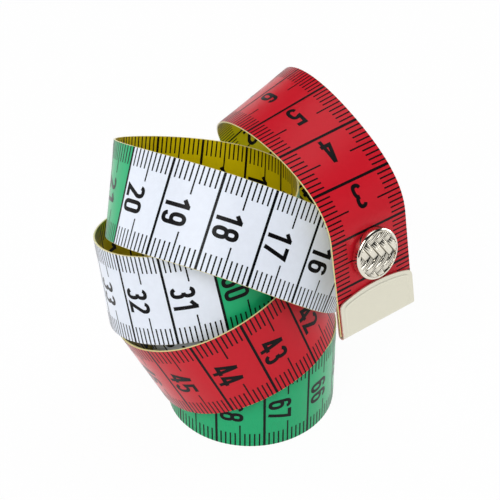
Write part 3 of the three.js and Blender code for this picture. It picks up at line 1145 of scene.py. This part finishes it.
@dataclass
class TapePrint:
    """The scale on one stretch of the tape: marks at every millimetre and numbers at every centimetre."""

    name: str
    start: int
    end: int
    route: TapeRoute
    numerals: Numerals = Numerals()
    mark: float = 3.5
    half_mark: float = 5.8
    mark_pen: float = 0.31
    line_pen: float = 0.53
    edge_margin: float = 0.07
    foot: float = 0.78
    lift: float = 0.02
    overhang: float = 0.5

    def _height(self, side: Side) -> float:
        """Returns the height of the ink on one side."""
        return int(side) * (self.route.thickness / 2 + self.lift)

    def marks(self, side: Side, path: PathSheet, finishes: Finishes) -> Piece:
        """Draws the marks along both edges and the lines across.

        Args:
            side: The side of the tape.
            path: The route for the node trees.
            finishes: The object's materials.

        Returns:
            The marks of this stretch and side.
        """
        label = f"{self.name}_marks_{side.name.lower()}"
        tree = self._marks_tree(label, path)
        values = {
            "First": self.start,
            "Count": self.end - self.start + 1,
            "Half Width": (self.route.width / 2 - self.edge_margin) * MM,
            "Mark": self.mark * MM,
            "Half Mark": self.half_mark * MM,
            "Mark Pen": self.mark_pen * MM,
            "Line Pen": self.line_pen * MM,
            "Height": self._height(side) * MM,
            "Path": path.object,
            "Ink": finishes.ink,
        }
        return plain_mesh(label, tree, values, bpy.data.meshes.new(label))

    @staticmethod
    def _marks_tree(label: str, path: PathSheet) -> Tree:
        """Builds the tree that repeats the marks along the tape.

        Args:
            label: Name of the marks.
            path: The route for the node trees.

        Returns:
            The tree.
        """
        counts = [(count, "NodeSocketInt") for count in ("First", "Count")]
        sizes = ("Half Width", "Mark", "Half Mark", "Mark Pen", "Line Pen", "Height")
        lengths = [(size, "NodeSocketFloat") for size in sizes]
        graph = new_group(
            f"{label}_tree", GEOMETRY_TREE, [GEOMETRY, *counts, *lengths, PATH, INK], [GEOMETRY]
        )
        given = graph.node("NodeGroupInput").outputs
        start = graph.math("MULTIPLY", given["First"], MM)
        begin = graph.node("ShaderNodeCombineXYZ", {"X": start, "Z": given["Height"]}).outputs[0]
        row = graph.node(
            "GeometryNodeMeshLine", {"Count": given["Count"], "Start Location": begin, "Offset": (MM, 0, 0)}
        )
        number = graph.math("ADD", graph.node("GeometryNodeInputIndex").outputs[0], given["First"])

        def every(step: float) -> Socket:
            """Returns 1 at each mark whose number is a multiple of the step, and 0 at the others."""
            tolerance = 0.1
            return graph.math("COMPARE", graph.math("MODULO", number, step), 0.0, tolerance)

        is_line, is_half = every(float(MM_PER_CM)), every(MM_PER_CM / 2)
        half_more = graph.math("SUBTRACT", given["Half Mark"], given["Mark"])
        line_more = graph.math("SUBTRACT", given["Half Width"], given["Half Mark"])
        pen_more = graph.math("SUBTRACT", given["Line Pen"], given["Mark Pen"])
        longer = graph.math("MULTIPLY_ADD", is_half, half_more, given["Mark"])
        long = graph.math("MULTIPLY_ADD", is_line, line_more, longer)
        pen = graph.math("MULTIPLY_ADD", is_line, pen_more, given["Mark Pen"])
        scale = graph.node("ShaderNodeCombineXYZ", {"X": pen, "Y": long, "Z": 1.0}).outputs[0]
        inward = graph.math("SUBTRACT", given["Half Width"], graph.math("DIVIDE", long, 2.0))
        square = graph.node(
            "GeometryNodeMeshGrid", {"Size X": 1.0, "Size Y": 1.0, "Vertices X": 2, "Vertices Y": 2}
        ).outputs[0]
        joined = graph.node("GeometryNodeJoinGeometry")
        for edge in (-1.0, 1.0):
            shift = graph.math("MULTIPLY", inward, edge)
            offset = graph.node("ShaderNodeCombineXYZ", {"Y": shift}).outputs[0]
            moved = graph.node("GeometryNodeSetPosition", {"Geometry": row.outputs[0], "Offset": offset})
            repeated = graph.node(
                "GeometryNodeInstanceOnPoints",
                {"Points": moved.outputs[0], "Instance": square, "Scale": scale},
            )
            graph.feed(joined.inputs[0], repeated.outputs[0])
        real = graph.node("GeometryNodeRealizeInstances", {"Geometry": joined.outputs[0]})
        below = graph.math("LESS_THAN", given["Height"], 0.0)
        faced = graph.node("GeometryNodeFlipFaces", {"Mesh": real.outputs[0], "Selection": below})
        laid = path.laid(graph, faced.outputs[0], given["Path"])
        inked = graph.node("GeometryNodeSetMaterial", {"Geometry": laid, "Material": given["Ink"]})
        graph.node("NodeGroupOutput", {"Geometry": inked.outputs[0]})
        return graph.tree

    @staticmethod
    def _turned_out(face: list[int], verts: list[Corner], side: Side) -> list[int]:
        """Turns a flat face away from the tape.

        Args:
            face: Its corners, by number.
            verts: The points of the drawing.
            side: The side of the tape.

        Returns:
            The corners in the order that does so.
        """
        x, y, _ = np.array([verts[corner] for corner in face]).T
        area = np.dot(x, np.roll(y, -1)) - np.dot(y, np.roll(x, -1))
        return face if area * int(side) > 0 else face[::-1]

    def _numbers_mesh(self, side: Side) -> Mesh:
        """Draws the numbers of this stretch flat: those of the reverse count from the other end.

        Args:
            side: The side of the tape.

        Returns:
            The flat drawing.
        """
        verts: list[Corner] = []
        faces: Faces = []
        sign, height = int(side), self._height(side)
        whole = int(self.route.length // MM_PER_CM)
        for centimetre in range(1, whole):
            number = centimetre if side is Side.FRONT else whole - centimetre
            base = MM_PER_CM * centimetre - sign * self.foot
            top = base - sign * self.numerals.height
            if min(base, top) < self.start - self.overhang or max(base, top) > self.end + self.overhang:
                continue
            points, strips = self.numerals.outline(str(number))
            first = len(verts)
            verts += [((base - sign * y) * MM, x * MM, height * MM) for x, y in points]
            faces += [self._turned_out([first + k for k in strip], verts, side) for strip in strips]
        mesh = bpy.data.meshes.new(f"{self.name}_numbers")
        mesh.from_pydata(verts, [], faces)
        return mesh

    def numbers(self, side: Side, path: PathSheet, finishes: Finishes) -> Piece:
        """Lays the numbers of one side on the route.

        Args:
            side: The side of the tape.
            path: The route for the node trees.
            finishes: The object's materials.

        Returns:
            The numbers of this stretch and side.
        """
        label = f"{self.name}_numbers_{side.name.lower()}"
        graph = new_group(f"{label}_tree", GEOMETRY_TREE, [GEOMETRY, PATH, INK], [GEOMETRY])
        given = graph.node("NodeGroupInput").outputs
        laid = path.laid(graph, given["Geometry"], given["Path"])
        real = graph.node("GeometryNodeRealizeInstances", {"Geometry": laid}).outputs[0]
        inked = graph.node("GeometryNodeSetMaterial", {"Geometry": real, "Material": given["Ink"]})
        graph.node("NodeGroupOutput", {"Geometry": inked.outputs[0]})
        values = {"Path": path.object, "Ink": finishes.ink}
        return plain_mesh(label, graph.tree, values, self._numbers_mesh(side))

    def build(self, path: PathSheet, finishes: Finishes) -> list[Piece]:
        """Builds the marks and numbers of both sides.

        Args:
            path: The route for the node trees.
            finishes: The object's materials.

        Returns:
            The four pieces.
        """
        made = []
        for side in Side:
            made += [self.marks(side, path, finishes), self.numbers(side, path, finishes)]
        return made


@dataclass
class Tape:
    """The whole tape: the lead with the curl, and the roll with its loose turns and core."""

    route: TapeRoute
    seam: float = 80.5
    bend_start: float = 38.0
    bend_end: float = 78.0
    tip_cover: int = 7

    def build(self, finishes: Finishes) -> None:
        """Builds the bands with their print and hands the roll's pieces to the frame.

        Args:
            finishes: The object's materials.
        """
        path = PathSheet(self.route)
        self._lead(path, finishes)
        self._roll(path, finishes)

    def _lead(self, path: PathSheet, finishes: Finishes) -> None:
        """Builds the stretch from the zero end to the seam.

        Args:
            path: The route for the node trees.
            finishes: The object's materials.
        """
        band = TapeBand("tape_lead_band", 0.0, self.seam, self.route).build(path, finishes)
        ink = TapePrint("lead_scale", self.tip_cover, int(self.seam), self.route).build(path, finishes)
        ends = self.route.middle(np.array([self.bend_start, self.bend_end])) * MM
        for piece in (band, *ink):
            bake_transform(piece)
            report(piece)
        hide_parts("tape_lead")

    def _roll(self, path: PathSheet, finishes: Finishes) -> None:
        """Builds the stretch that stays on the roll.

        Args:
            path: The route for the node trees.
            finishes: The object's materials.
        """
        end = self.route.length
        band = TapeBand("tape_roll_band", self.seam, end, self.route).build(path, finishes)
        first, last = int(self.seam) + 1, int(end) - self.tip_cover
        ink = TapePrint("roll_scale", first, last, self.route).build(path, finishes)
        for piece in (band, *ink):
            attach(piece, Body.ROLL.value)
            report(piece)
        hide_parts("tape_loose_turns", "tape_core")


def report(piece: Piece) -> None:
    """Logs a finished piece and how many faces it has."""
    LOG.info("%s: %d faces", piece.name, len(piece.data.polygons))


# Metal pieces


@dataclass
class FoldedTip:
    """Sheet metal folded round one end of the tape, with an arched edge and a raised border line."""

    name: str
    place: Matrix
    width: float = 18.8
    side_length: float = 7.0
    middle_length: float = 8.5
    corner: float = 1.1
    sheet: float = 0.3
    slot: float = 0.475
    border_inset: float = 1.05
    border_width: float = 0.15
    border_height: float = 0.07
    border_softness: float = 0.35
    border_narrowing: float = 0.97
    spacing: float = 0.11
    fold_steps: int = 12
    smooth_angle: float = 40.0

    def _edge(self, across: Array) -> Array:
        """Works out how far the sheet reaches, with rounded corners.

        Args:
            across: Distances across from its middle.

        Returns:
            Distances along from the end of the tape.
        """
        half = self.width / 2
        rise = self.middle_length - self.side_length
        radius = (half**2 + rise**2) / (2 * rise)
        arch = self.middle_length - radius + np.sqrt(radius**2 - across**2)
        into = np.maximum(np.abs(across) - (half - self.corner), 0)
        return arch - (self.corner - np.sqrt(np.maximum(self.corner**2 - into**2, 0)))

    def _border(self, along: Array, across: Array) -> Array:
        """Works out the raised border line of the front.

        Args:
            along: Distances along from the end of the tape.
            across: Distances across from the middle.

        Returns:
            Heights above the sheet.
        """
        sides = self.width / 2 - np.abs(across)
        arch = self._edge(across * self.border_narrowing) - along
        nearness = np.exp(-np.stack([sides, arch]) / self.border_softness)
        inside = -self.border_softness * np.log(np.sum(nearness, axis=0))
        return self.border_height * np.exp(-(((inside - self.border_inset) / self.border_width) ** 2))

    def build(self, finish: Material, body: Body, node: str) -> Piece:
        """Builds the tip and hands it to the frame.

        Args:
            finish: The sheet's material.
            body: The body that it rides on.
            node: The CAD node that it stands for.

        Returns:
            The finished tip.
        """
        across = np.linspace(-self.width / 2, self.width / 2, round(self.width / self.spacing) + 1)
        shares = np.linspace(1, 0, round(self.middle_length / self.spacing) + 1)
        reach = self._edge(across)
        outside = self.slot + self.sheet
        outer, inner = [], []
        for share in shares:
            along = share * reach
            outer.append(row_of(along, across, outside + self._border(along, across)))
            inner.append(row_of(along, across, self.slot))
        for angle in np.radians(np.linspace(90, 270, self.fold_steps + 1))[1:-1]:
            for rows, radius in ((outer, outside), (inner, self.slot)):
                rows.append(row_of(radius * math.cos(angle), across, radius * math.sin(angle)))
        for share in shares[::-1]:
            outer.append(row_of(share * reach, across, -outside))
            inner.append(row_of(share * reach, across, -self.slot))
        verts, faces = shell_between(np.array(outer), np.array(inner))
        piece = mesh_piece(self.name, verts * MM, faces, self.smooth_angle)
        return settle(piece, self.place, finish, body, node)


def shell_between(outer: Array, inner: Array) -> tuple[Array, Faces]:
    """Joins two grids of points into one closed sheet.

    Args:
        outer: Rows of points on one face.
        inner: The same rows on the other face.

    Returns:
        Points and faces.
    """
    rows, columns = outer.shape[:2]
    verts = np.vstack([outer.reshape(-1, 3), inner.reshape(-1, 3)])
    back = rows * columns

    def at(row: int, column: int) -> int:
        """Returns the number of a point on the first face."""
        return row * columns + column

    faces = []
    for row in range(rows - 1):
        for column in range(columns - 1):
            face = [at(row, column), at(row + 1, column), at(row + 1, column + 1), at(row, column + 1)]
            faces += [face, [back + corner for corner in reversed(face)]]
    rim = [at(row, 0) for row in range(rows)]
    rim += [at(rows - 1, column) for column in range(1, columns)]
    rim += [at(row, columns - 1) for row in range(rows - 2, -1, -1)]
    rim += [at(0, column) for column in range(columns - 2, 0, -1)]
    for first, second in zip(rim, rim[1:] + rim[:1]):
        faces.append([second, first, back + first, back + second])
    return verts, faces


def settle(piece: Piece, place: Matrix, finish: Material, body: Body, node: str) -> Piece:
    """Puts a metal piece in its place, dresses it and hands it to the frame.

    Args:
        piece: The piece, built about its own origin.
        place: Where it goes.
        finish: Its material.
        body: The body that it rides on.
        node: The CAD node that it stands for.

    Returns:
        The piece.
    """
    piece.data.transform(place)
    piece.data.materials.append(finish)
    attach(piece, body.value)
    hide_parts(node)
    report(piece)
    return piece


def arc(centre: Point, radius: float, start: float, end: float, steps: int) -> list[Point]:
    """Returns points along part of a circle, from one angle to another in degrees."""
    angles = np.radians(np.linspace(start, end, steps + 1))
    return [(centre[0] + radius * math.cos(a), centre[1] + radius * math.sin(a)) for a in angles]


def bow(start: Array, pull: Array, end: Array, steps: int) -> list[Point]:
    """Returns points along a curve from start to end that bends toward pull."""
    shares = np.linspace(0, 1, steps + 1)
    return [tuple((1 - u) ** 2 * start + 2 * u * (1 - u) * pull + u**2 * end) for u in shares]


def rounded(profile: Points, radius: float, steps: int = 3, most: float = 0.45) -> list[Point]:
    """Rounds the corners of a closed outline.

    Args:
        profile: The outline's corners.
        radius: How far before and after each corner the rounding reaches.
        steps: Faces in each rounding.
        most: The most of a side that one rounding takes up.

    Returns:
        The rounded outline.
    """
    soft: list[Point] = []
    for i, corner in enumerate(profile):
        here = np.array(corner)
        ends = []
        for other in (profile[i - 1], profile[(i + 1) % len(profile)]):
            away = np.array(other) - here
            distance = np.linalg.norm(away)
            ends.append(here + away / distance * min(radius, distance * most))
        soft += bow(ends[0], here, ends[1], steps)
    return soft


def revolved(name: str, profile: Points, segments: int = 96, smooth_angle: float = 32) -> Piece:
    """Turns a closed outline about the z axis.

    Args:
        name: Name of the piece.
        profile: Radius and height of each point, in millimetres.
        segments: Steps round the axis.
        smooth_angle: Edges sharper than this stay sharp.

    Returns:
        The new piece.
    """
    turns = np.radians(np.arange(segments) * 360 / segments)
    verts = [(r * math.cos(a), r * math.sin(a), z) for a in turns for r, z in profile]
    count = len(profile)
    faces = []
    for step in range(segments):
        here, there = step * count, (step + 1) % segments * count
        for k in range(count):
            after = (k + 1) % count
            faces.append([here + k, there + k, there + after, here + after])
    return mesh_piece(name, np.array(verts) * MM, faces, smooth_angle)


@dataclass
class Snap:
    """The snap fastener: cap and socket on the lead, stud and eyelet one turn further in."""

    route: TapeRoute
    cap_place: float = 15.0
    cap_radius: float = 5.2
    cap_height: float = 2.0
    cap_segments: int = 320
    cap_rings: int = 84
    cap_smooth_angle: float = 60.0
    seat: float = 0.3
    sheet: float = 0.3
    dome: float = 0.2
    rim: float = 0.44
    rim_round: float = 0.5
    foot_round: float = 0.3
    foot_flange: float = 1.3
    inner_ease: float = 0.2
    strip: float = 1.45
    strip_turn: float = math.radians(34)
    strip_rise: float = 0.42
    strip_units: int = 3
    strip_bow: float = 0.8
    strip_crown: int = 8
    ribs: int = 3
    rib_depth: float = 0.26
    edge_level: float = 0.6
    edge_fade: float = 0.2
    # How sharply the painted shade in the cap's grooves grows with depth
    tarnish_power: float = 2.5

    def __post_init__(self) -> None:
        """Works out the heights and the field that the pieces share."""
        self.face = self.route.thickness / 2 + self.seat
        self.field = self.cap_radius - self.rim
        self.rim_top = self.face + self.cap_height - self.dome
        self.groove = self.rim_top - self.strip_rise

    def _weave_relief(self, x: Array, y: Array) -> Array:
        """Works out the relief of the cap's face: a herringbone of ribbed strips.

        Args:
            x: Distances along the tape.
            y: Distances across it.

        Returns:
            Heights from 0 in the grooves to 1 on the strips.
        """
        cosine, sine = math.cos(self.strip_turn), math.sin(self.strip_turn)
        u = (x * cosine + y * sine) / self.strip
        v = (y * cosine - x * sine) / self.strip
        column, row = np.floor(u), np.floor(v)
        repeat = 2 * self.strip_units
        kind = (column - row) % repeat
        level = kind < self.strip_units
        across = np.where(level, v - row, u - column)
        along = np.where(level, u - column + kind, v - row + repeat - 1 - kind) / self.strip_units
        crown = 1 - np.abs(2 * across - 1) ** self.strip_crown
        bowed = 1 - self.strip_bow * np.abs(2 * along - 1) ** 2
        ribbed = np.sqrt(np.abs(np.sin(self.ribs * np.pi * across)))
        return crown * bowed * (1 - self.rib_depth + self.rib_depth * ribbed)

    def _field_floor(self, radius: Array | float) -> Array | float:
        """Returns the height of the grooves at a distance from the cap's middle."""
        return self.groove + self.dome * (1 - (radius / self.field) ** 2)

    def _cap_wall(self) -> list[Point]:
        """Draws the cap's rim, wall, foot and inside.

        Returns:
            Radius and height of each point.
        """
        wall, low, under = self.cap_radius, self.face, self.groove - self.sheet
        rim, foot = self.rim_round, self.foot_round
        return [
            *arc((wall - rim, self.rim_top - rim), rim, 100, 0, 8),
            *arc((wall - foot, low + foot), foot, 0, -90, 5),
            (wall - self.foot_flange, low),
            (wall - self.foot_flange, low + self.sheet),
            (wall - self.sheet, low + self.sheet),
            (wall - self.sheet, under - self.inner_ease),
            (wall - 2 * self.sheet, under),
        ]

    def cap(self, finishes: Finishes) -> Piece:
        """Builds the pressed cap: a thin shell with a smooth rim round a woven relief.

        Args:
            finishes: The object's materials.

        Returns:
            The finished cap.
        """
        segments = self.cap_segments
        turns = np.radians(np.arange(segments) * 360 / segments)
        cosine, sine = np.cos(turns), np.sin(turns)
        rows = []
        for radius in np.linspace(0, self.field, self.cap_rings + 1)[1:]:
            x, y = radius * cosine, radius * sine
            fade = 1 - smoothstep(self.field - self.edge_fade, self.field, radius)
            relief = self.edge_level + fade * (self._weave_relief(x, y) - self.edge_level)
            rows.append(row_of(x, y, self._field_floor(radius) + self.strip_rise * relief))
        rows += [row_of(radius * cosine, radius * sine, height) for radius, height in self._cap_wall()]
        origin = np.zeros(1)
        middle = self._field_floor(0.0) + self.strip_rise * self._weave_relief(origin, origin)[0]
        verts = np.vstack([*rows, [[0, 0, middle], [0, 0, self.groove - self.sheet]]])
        top, under = len(verts) - 2, len(verts) - 1
        last = (len(rows) - 1) * segments
        faces: Faces = []
        for k in range(segments):
            after = (k + 1) % segments
            faces += [[top, k, after], [under, last + after, last + k]]
            for ring in range(0, last, segments):
                a, b = ring + k, ring + after
                faces.append([a, a + segments, b + segments, b])
        piece = mesh_piece("snap_cap_shell", verts * MM, faces, self.cap_smooth_angle)
        self._mark_recesses(piece.data)
        place = self.route.place(self.cap_place)
        return settle(piece, place, finishes.nickel, Body.LEAD, "snap_cap")

    def _mark_recesses(self, mesh: Mesh) -> None:
        """Stores painted shade on the cap's face, darker the deeper each point lies in its grooves.

        Args:
            mesh: The cap, about its own origin.
        """
        slack = 0.001
        x, y, z = mesh_places(mesh).T / MM
        radius = np.hypot(x, y)
        on_face = (radius <= self.field + slack) & (z > self.groove - slack)
        depth = np.clip(1 - (z - self._field_floor(radius)) / self.strip_rise, 0, 1)
        # Painted shade: deeper points of the face get more of the dark recess colour
        groove_shade = np.where(on_face, depth**self.tarnish_power, 0)
        recess = mesh.attributes.new("recess", "FLOAT", "POINT")
        recess.data.foreach_set("value", groove_shade.astype(np.float32))

    def socket(self, finishes: Finishes) -> Piece:
        """Builds the socket behind the lead, with the groove of its spring.

        Args:
            finishes: The object's materials.

        Returns:
            The finished socket.
        """
        low, plate, mouth = -self.face, -self.face - 0.3, -self.face - 2.1
        outline = [
            (1.6, low),
            (1.6, plate),
            (2.5, plate),
            (2.5, mouth + 1.1),
            (3.3, mouth + 1.1),
            (3.3, mouth + 0.3),
            (2.5, mouth + 0.3),
            (2.5, mouth),
            (3.3, mouth),
            (3.8, mouth + 0.35),
            (4.3, plate),
            (4.3, low),
        ]
        piece = revolved("snap_socket_ring", rounded(outline, 0.12))
        place = self.route.place(self.cap_place)
        return settle(piece, place, finishes.nickel, Body.LEAD, "snap_socket")

    def stud(self, finishes: Finishes) -> Piece:
        """Builds the stud with its waisted head.

        Args:
            finishes: The object's materials.

        Returns:
            The finished stud.
        """
        low, top = self.face, self.face + 1.9
        outline = [
            (1.4, low),
            (4.0, low),
            (4.0, low + 0.3),
            (2.2, low + 0.38),
            (2.0, low + 0.7),
            (2.0, low + 0.95),
            (2.42, top - 0.55),
            (2.3, top - 0.15),
            (1.95, top),
            (1.4, top),
        ]
        piece = revolved("snap_stud_turned", rounded(outline, 0.14))
        place = self.route.place(self.route.stud_place)
        return settle(piece, place, finishes.nickel, Body.ROLL, "snap_stud")

    def eyelet(self, finishes: Finishes) -> Piece:
        """Builds the eyelet that holds the stud from the reverse.

        Args:
            finishes: The object's materials.

        Returns:
            The finished eyelet.
        """
        low, plate, flare = -self.face, -self.face - 0.3, self.face + 2.2
        outline = [
            (0.7, plate),
            (3.6, plate),
            (3.6, low),
            (1.1, low),
            (1.1, flare),
            (1.95, flare),
            (1.5, flare + 0.28),
            (0.7, flare + 0.3),
        ]
        piece = revolved("snap_eyelet_rolled", rounded(outline, 0.12))
        place = self.route.place(self.route.stud_place)
        return settle(piece, place, finishes.nickel, Body.ROLL, "snap_stud_eyelet")

    def build(self, finishes: Finishes, nodes: dict[str, Piece]) -> None:
        """Builds the pieces that show and dresses the two that stay as the frame has them.

        Args:
            finishes: The object's materials.
            nodes: The CAD nodes by name.
        """
        for made in (self.cap, self.socket, self.stud, self.eyelet):
            made(finishes)
        for node, finish in (("snap_cap_post", finishes.nickel), ("snap_spring", finishes.spring)):
            nodes[node].data.materials.clear()
            nodes[node].data.materials.append(finish)


# Stage, light and camera


@dataclass
class Studio:
    """A pale floor, soft light and the photograph's camera."""

    route: TapeRoute
    elevation: float = math.radians(36.58)
    shift_right: float = 0.57
    shift_down: float = 30.5
    distance: float = 284.8
    focal_pixels: float = 1305.5
    image_pixels: float = 500.0
    sensor: float = 36.0
    surround: float = 0.84
    floor_half: float = 3.0
    floor_glow: float = 0.955
    lamp_size: float = 0.5
    lamp_target: Corner = (0.0, 0.0, 0.03)

    # Place of each lamp in metres, and its power in watts
    LAMPS = {
        "key_lamp": ((-0.2, -0.6, 0.7), 5.6),
        "top_lamp": ((0.05, 0.2, 0.8), 1.5),
        "left_lamp": ((-0.6, 0.5, 0.2), 2.0),
        "right_lamp": ((0.7, 0.38, 0.2), 2.8),
    }

    def camera(self) -> None:
        """Puts the camera where the photograph was taken from."""
        sine, cosine = math.sin(self.elevation), math.cos(self.elevation)
        offset = (
            -self.shift_right,
            self.shift_down * sine - self.distance * cosine,
            self.shift_down * cosine + self.distance * sine,
        )
        data = bpy.data.cameras.new("photo_camera")
        data.sensor_width = self.sensor
        data.lens = self.sensor * self.focal_pixels / self.image_pixels
        data.clip_start, data.clip_end = 0.01, 50.0
        camera = add_to_scene("photo_camera", data)
        camera.location = (np.array(self.route.origin) + np.array(offset)) * MM
        camera.rotation_euler = (math.pi / 2 - self.elevation, 0, 0)
        bpy.context.scene.camera = camera

    @staticmethod
    def _seen(graph: Graph) -> Socket:
        """Adds the test for rays that look at the background, straight or in a reflection.

        Args:
            graph: The tree that the test is added to.

        Returns:
            1 for such rays and 0 for the others.
        """
        rays = graph.node("ShaderNodeLightPath").outputs
        mirrored = graph.math("MAXIMUM", rays["Is Glossy Ray"], rays["Is Transmission Ray"])
        return graph.math("MAXIMUM", rays["Is Camera Ray"], mirrored)

    def world(self) -> None:
        """Lights the object evenly from a white surround."""
        world = bpy.data.worlds.new("white_surround")
        world.use_nodes = True
        bpy.context.scene.world = world
        graph = Graph(world.node_tree)
        background = world.node_tree.nodes["Background"]
        background.inputs["Color"].default_value = (1, 1, 1, 1)
        strength = graph.math("MULTIPLY_ADD", self._seen(graph), 1 - self.surround, self.surround)
        graph.feed(background.inputs["Strength"], strength)

    @staticmethod
    def _matt(name: str, colour: Paint, specular: float) -> Material:
        """Makes a plain matt material for the stage.

        Args:
            name: Name of the material.
            colour: Its colour.
            specular: How much it mirrors.

        Returns:
            The material.
        """
        made = bpy.data.materials.new(name)
        made.use_nodes = True
        shader = made.node_tree.nodes["Principled BSDF"]
        shader.inputs["Base Color"].default_value = colour
        shader.inputs["Roughness"].default_value = 0.9
        shader.inputs["Specular IOR Level"].default_value = specular
        return made

    @staticmethod
    def _panel(name: str, corners: Sequence[Corner], finish: Material) -> bpy.types.Object:
        """Adds a flat panel to the stage.

        Args:
            name: Name of the panel.
            corners: Its four corners in metres.
            finish: Its material.

        Returns:
            The panel.
        """
        mesh = bpy.data.meshes.new(name)
        mesh.from_pydata(corners, [], [[0, 1, 2, 3]])
        mesh.materials.append(finish)
        panel = add_to_scene(name, mesh)
        return panel

    def floor(self) -> None:
        """Lays a pale floor that keeps a soft shadow."""
        made = self._matt("pale_floor", (0.96, 0.96, 0.96, 1), 0.0)
        graph = Graph(made.node_tree)
        nodes = made.node_tree.nodes
        glow = graph.node("ShaderNodeEmission", {"Color": (1, 1, 1, 1), "Strength": 1.0})
        share = graph.math("MULTIPLY", self._seen(graph), self.floor_glow)
        mixed = graph.node(
            "ShaderNodeMixShader", {0: share, 1: nodes["Principled BSDF"].outputs[0], 2: glow.outputs[0]}
        )
        graph.feed(nodes["Material Output"].inputs["Surface"], mixed.outputs[0])
        half = self.floor_half
        corners = [(-half, -half, 0), (half, -half, 0), (half, half, 0), (-half, half, 0)]
        self._panel("floor", corners, made)

    def dark_cards(self) -> None:
        """Hangs a dark ceiling, front and upper rear, and a card on the right that only metal reflects."""
        made = self._matt("dark_card", (0.03, 0.03, 0.032, 1), 0.5)
        reach, near, back, low, middle, high = 1.6, 0.4, 1.3, 0.06, 0.3, 1.25
        ceiling = [(-reach, -reach, high), (reach, -reach, high), (reach, back, high), (-reach, back, high)]
        front = [(-reach, -reach, high), (-reach, -reach, low), (reach, -reach, low), (reach, -reach, high)]
        right = [(reach, -reach, high), (reach, -reach, low), (reach, near, low), (reach, near, high)]
        rear = [(-reach, back, high), (reach, back, high), (reach, back, middle), (-reach, back, middle)]
        for name, corners, shading in (
            ("dark_ceiling", ceiling, True),
            ("dark_front", front, True),
            ("dark_right", right, False),
            ("dark_rear", rear, True),
        ):
            card = self._panel(name, corners, made)
            card.visible_camera = False
            card.visible_diffuse = shading
            card.visible_shadow = shading

    def lamp(self, name: str, place: Corner, power: float) -> None:
        """Adds a soft square lamp that faces the object.

        Args:
            name: Name of the lamp.
            place: Where it hangs, in metres.
            power: Its power in watts.
        """
        data = bpy.data.lights.new(name, "AREA")
        data.size = self.lamp_size
        data.energy = power
        lamp = add_to_scene(name, data)
        lamp.location = place
        lamp.rotation_mode = "QUATERNION"
        lamp.rotation_quaternion = (Vector(self.lamp_target) - Vector(place)).to_track_quat("-Z", "Y")

    def build(self) -> None:
        """Sets the whole stage."""
        bpy.context.scene.view_settings.view_transform = "Standard"
        self.camera()
        self.world()
        self.floor()
        self.dark_cards()
        for name, (place, power) in self.LAMPS.items():
            self.lamp(name, place, power)


def main() -> None:
    """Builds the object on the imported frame."""
    logging.basicConfig(level=logging.INFO, format="%(name)s: %(message)s")
    for leftover in list(bpy.data.objects):
        bpy.data.objects.remove(leftover)
    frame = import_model()
    route = route_in_frame(frame)
    finishes = Finishes(Effects())
    Studio(route).build()
    Tape(route).build(finishes)
    FoldedTip("zero_end_tip_fold", route.place(0.0)).build(finishes.tip, Body.LEAD, "zero_end_tip")
    FoldedTip("inner_end_tip_fold", route.place(route.length, turned_back=True)).build(
        finishes.tip, Body.ROLL, "inner_end_tip"
    )
    Snap(route).build(finishes, frame["nodes"])


if __name__ == "__main__":
    main()
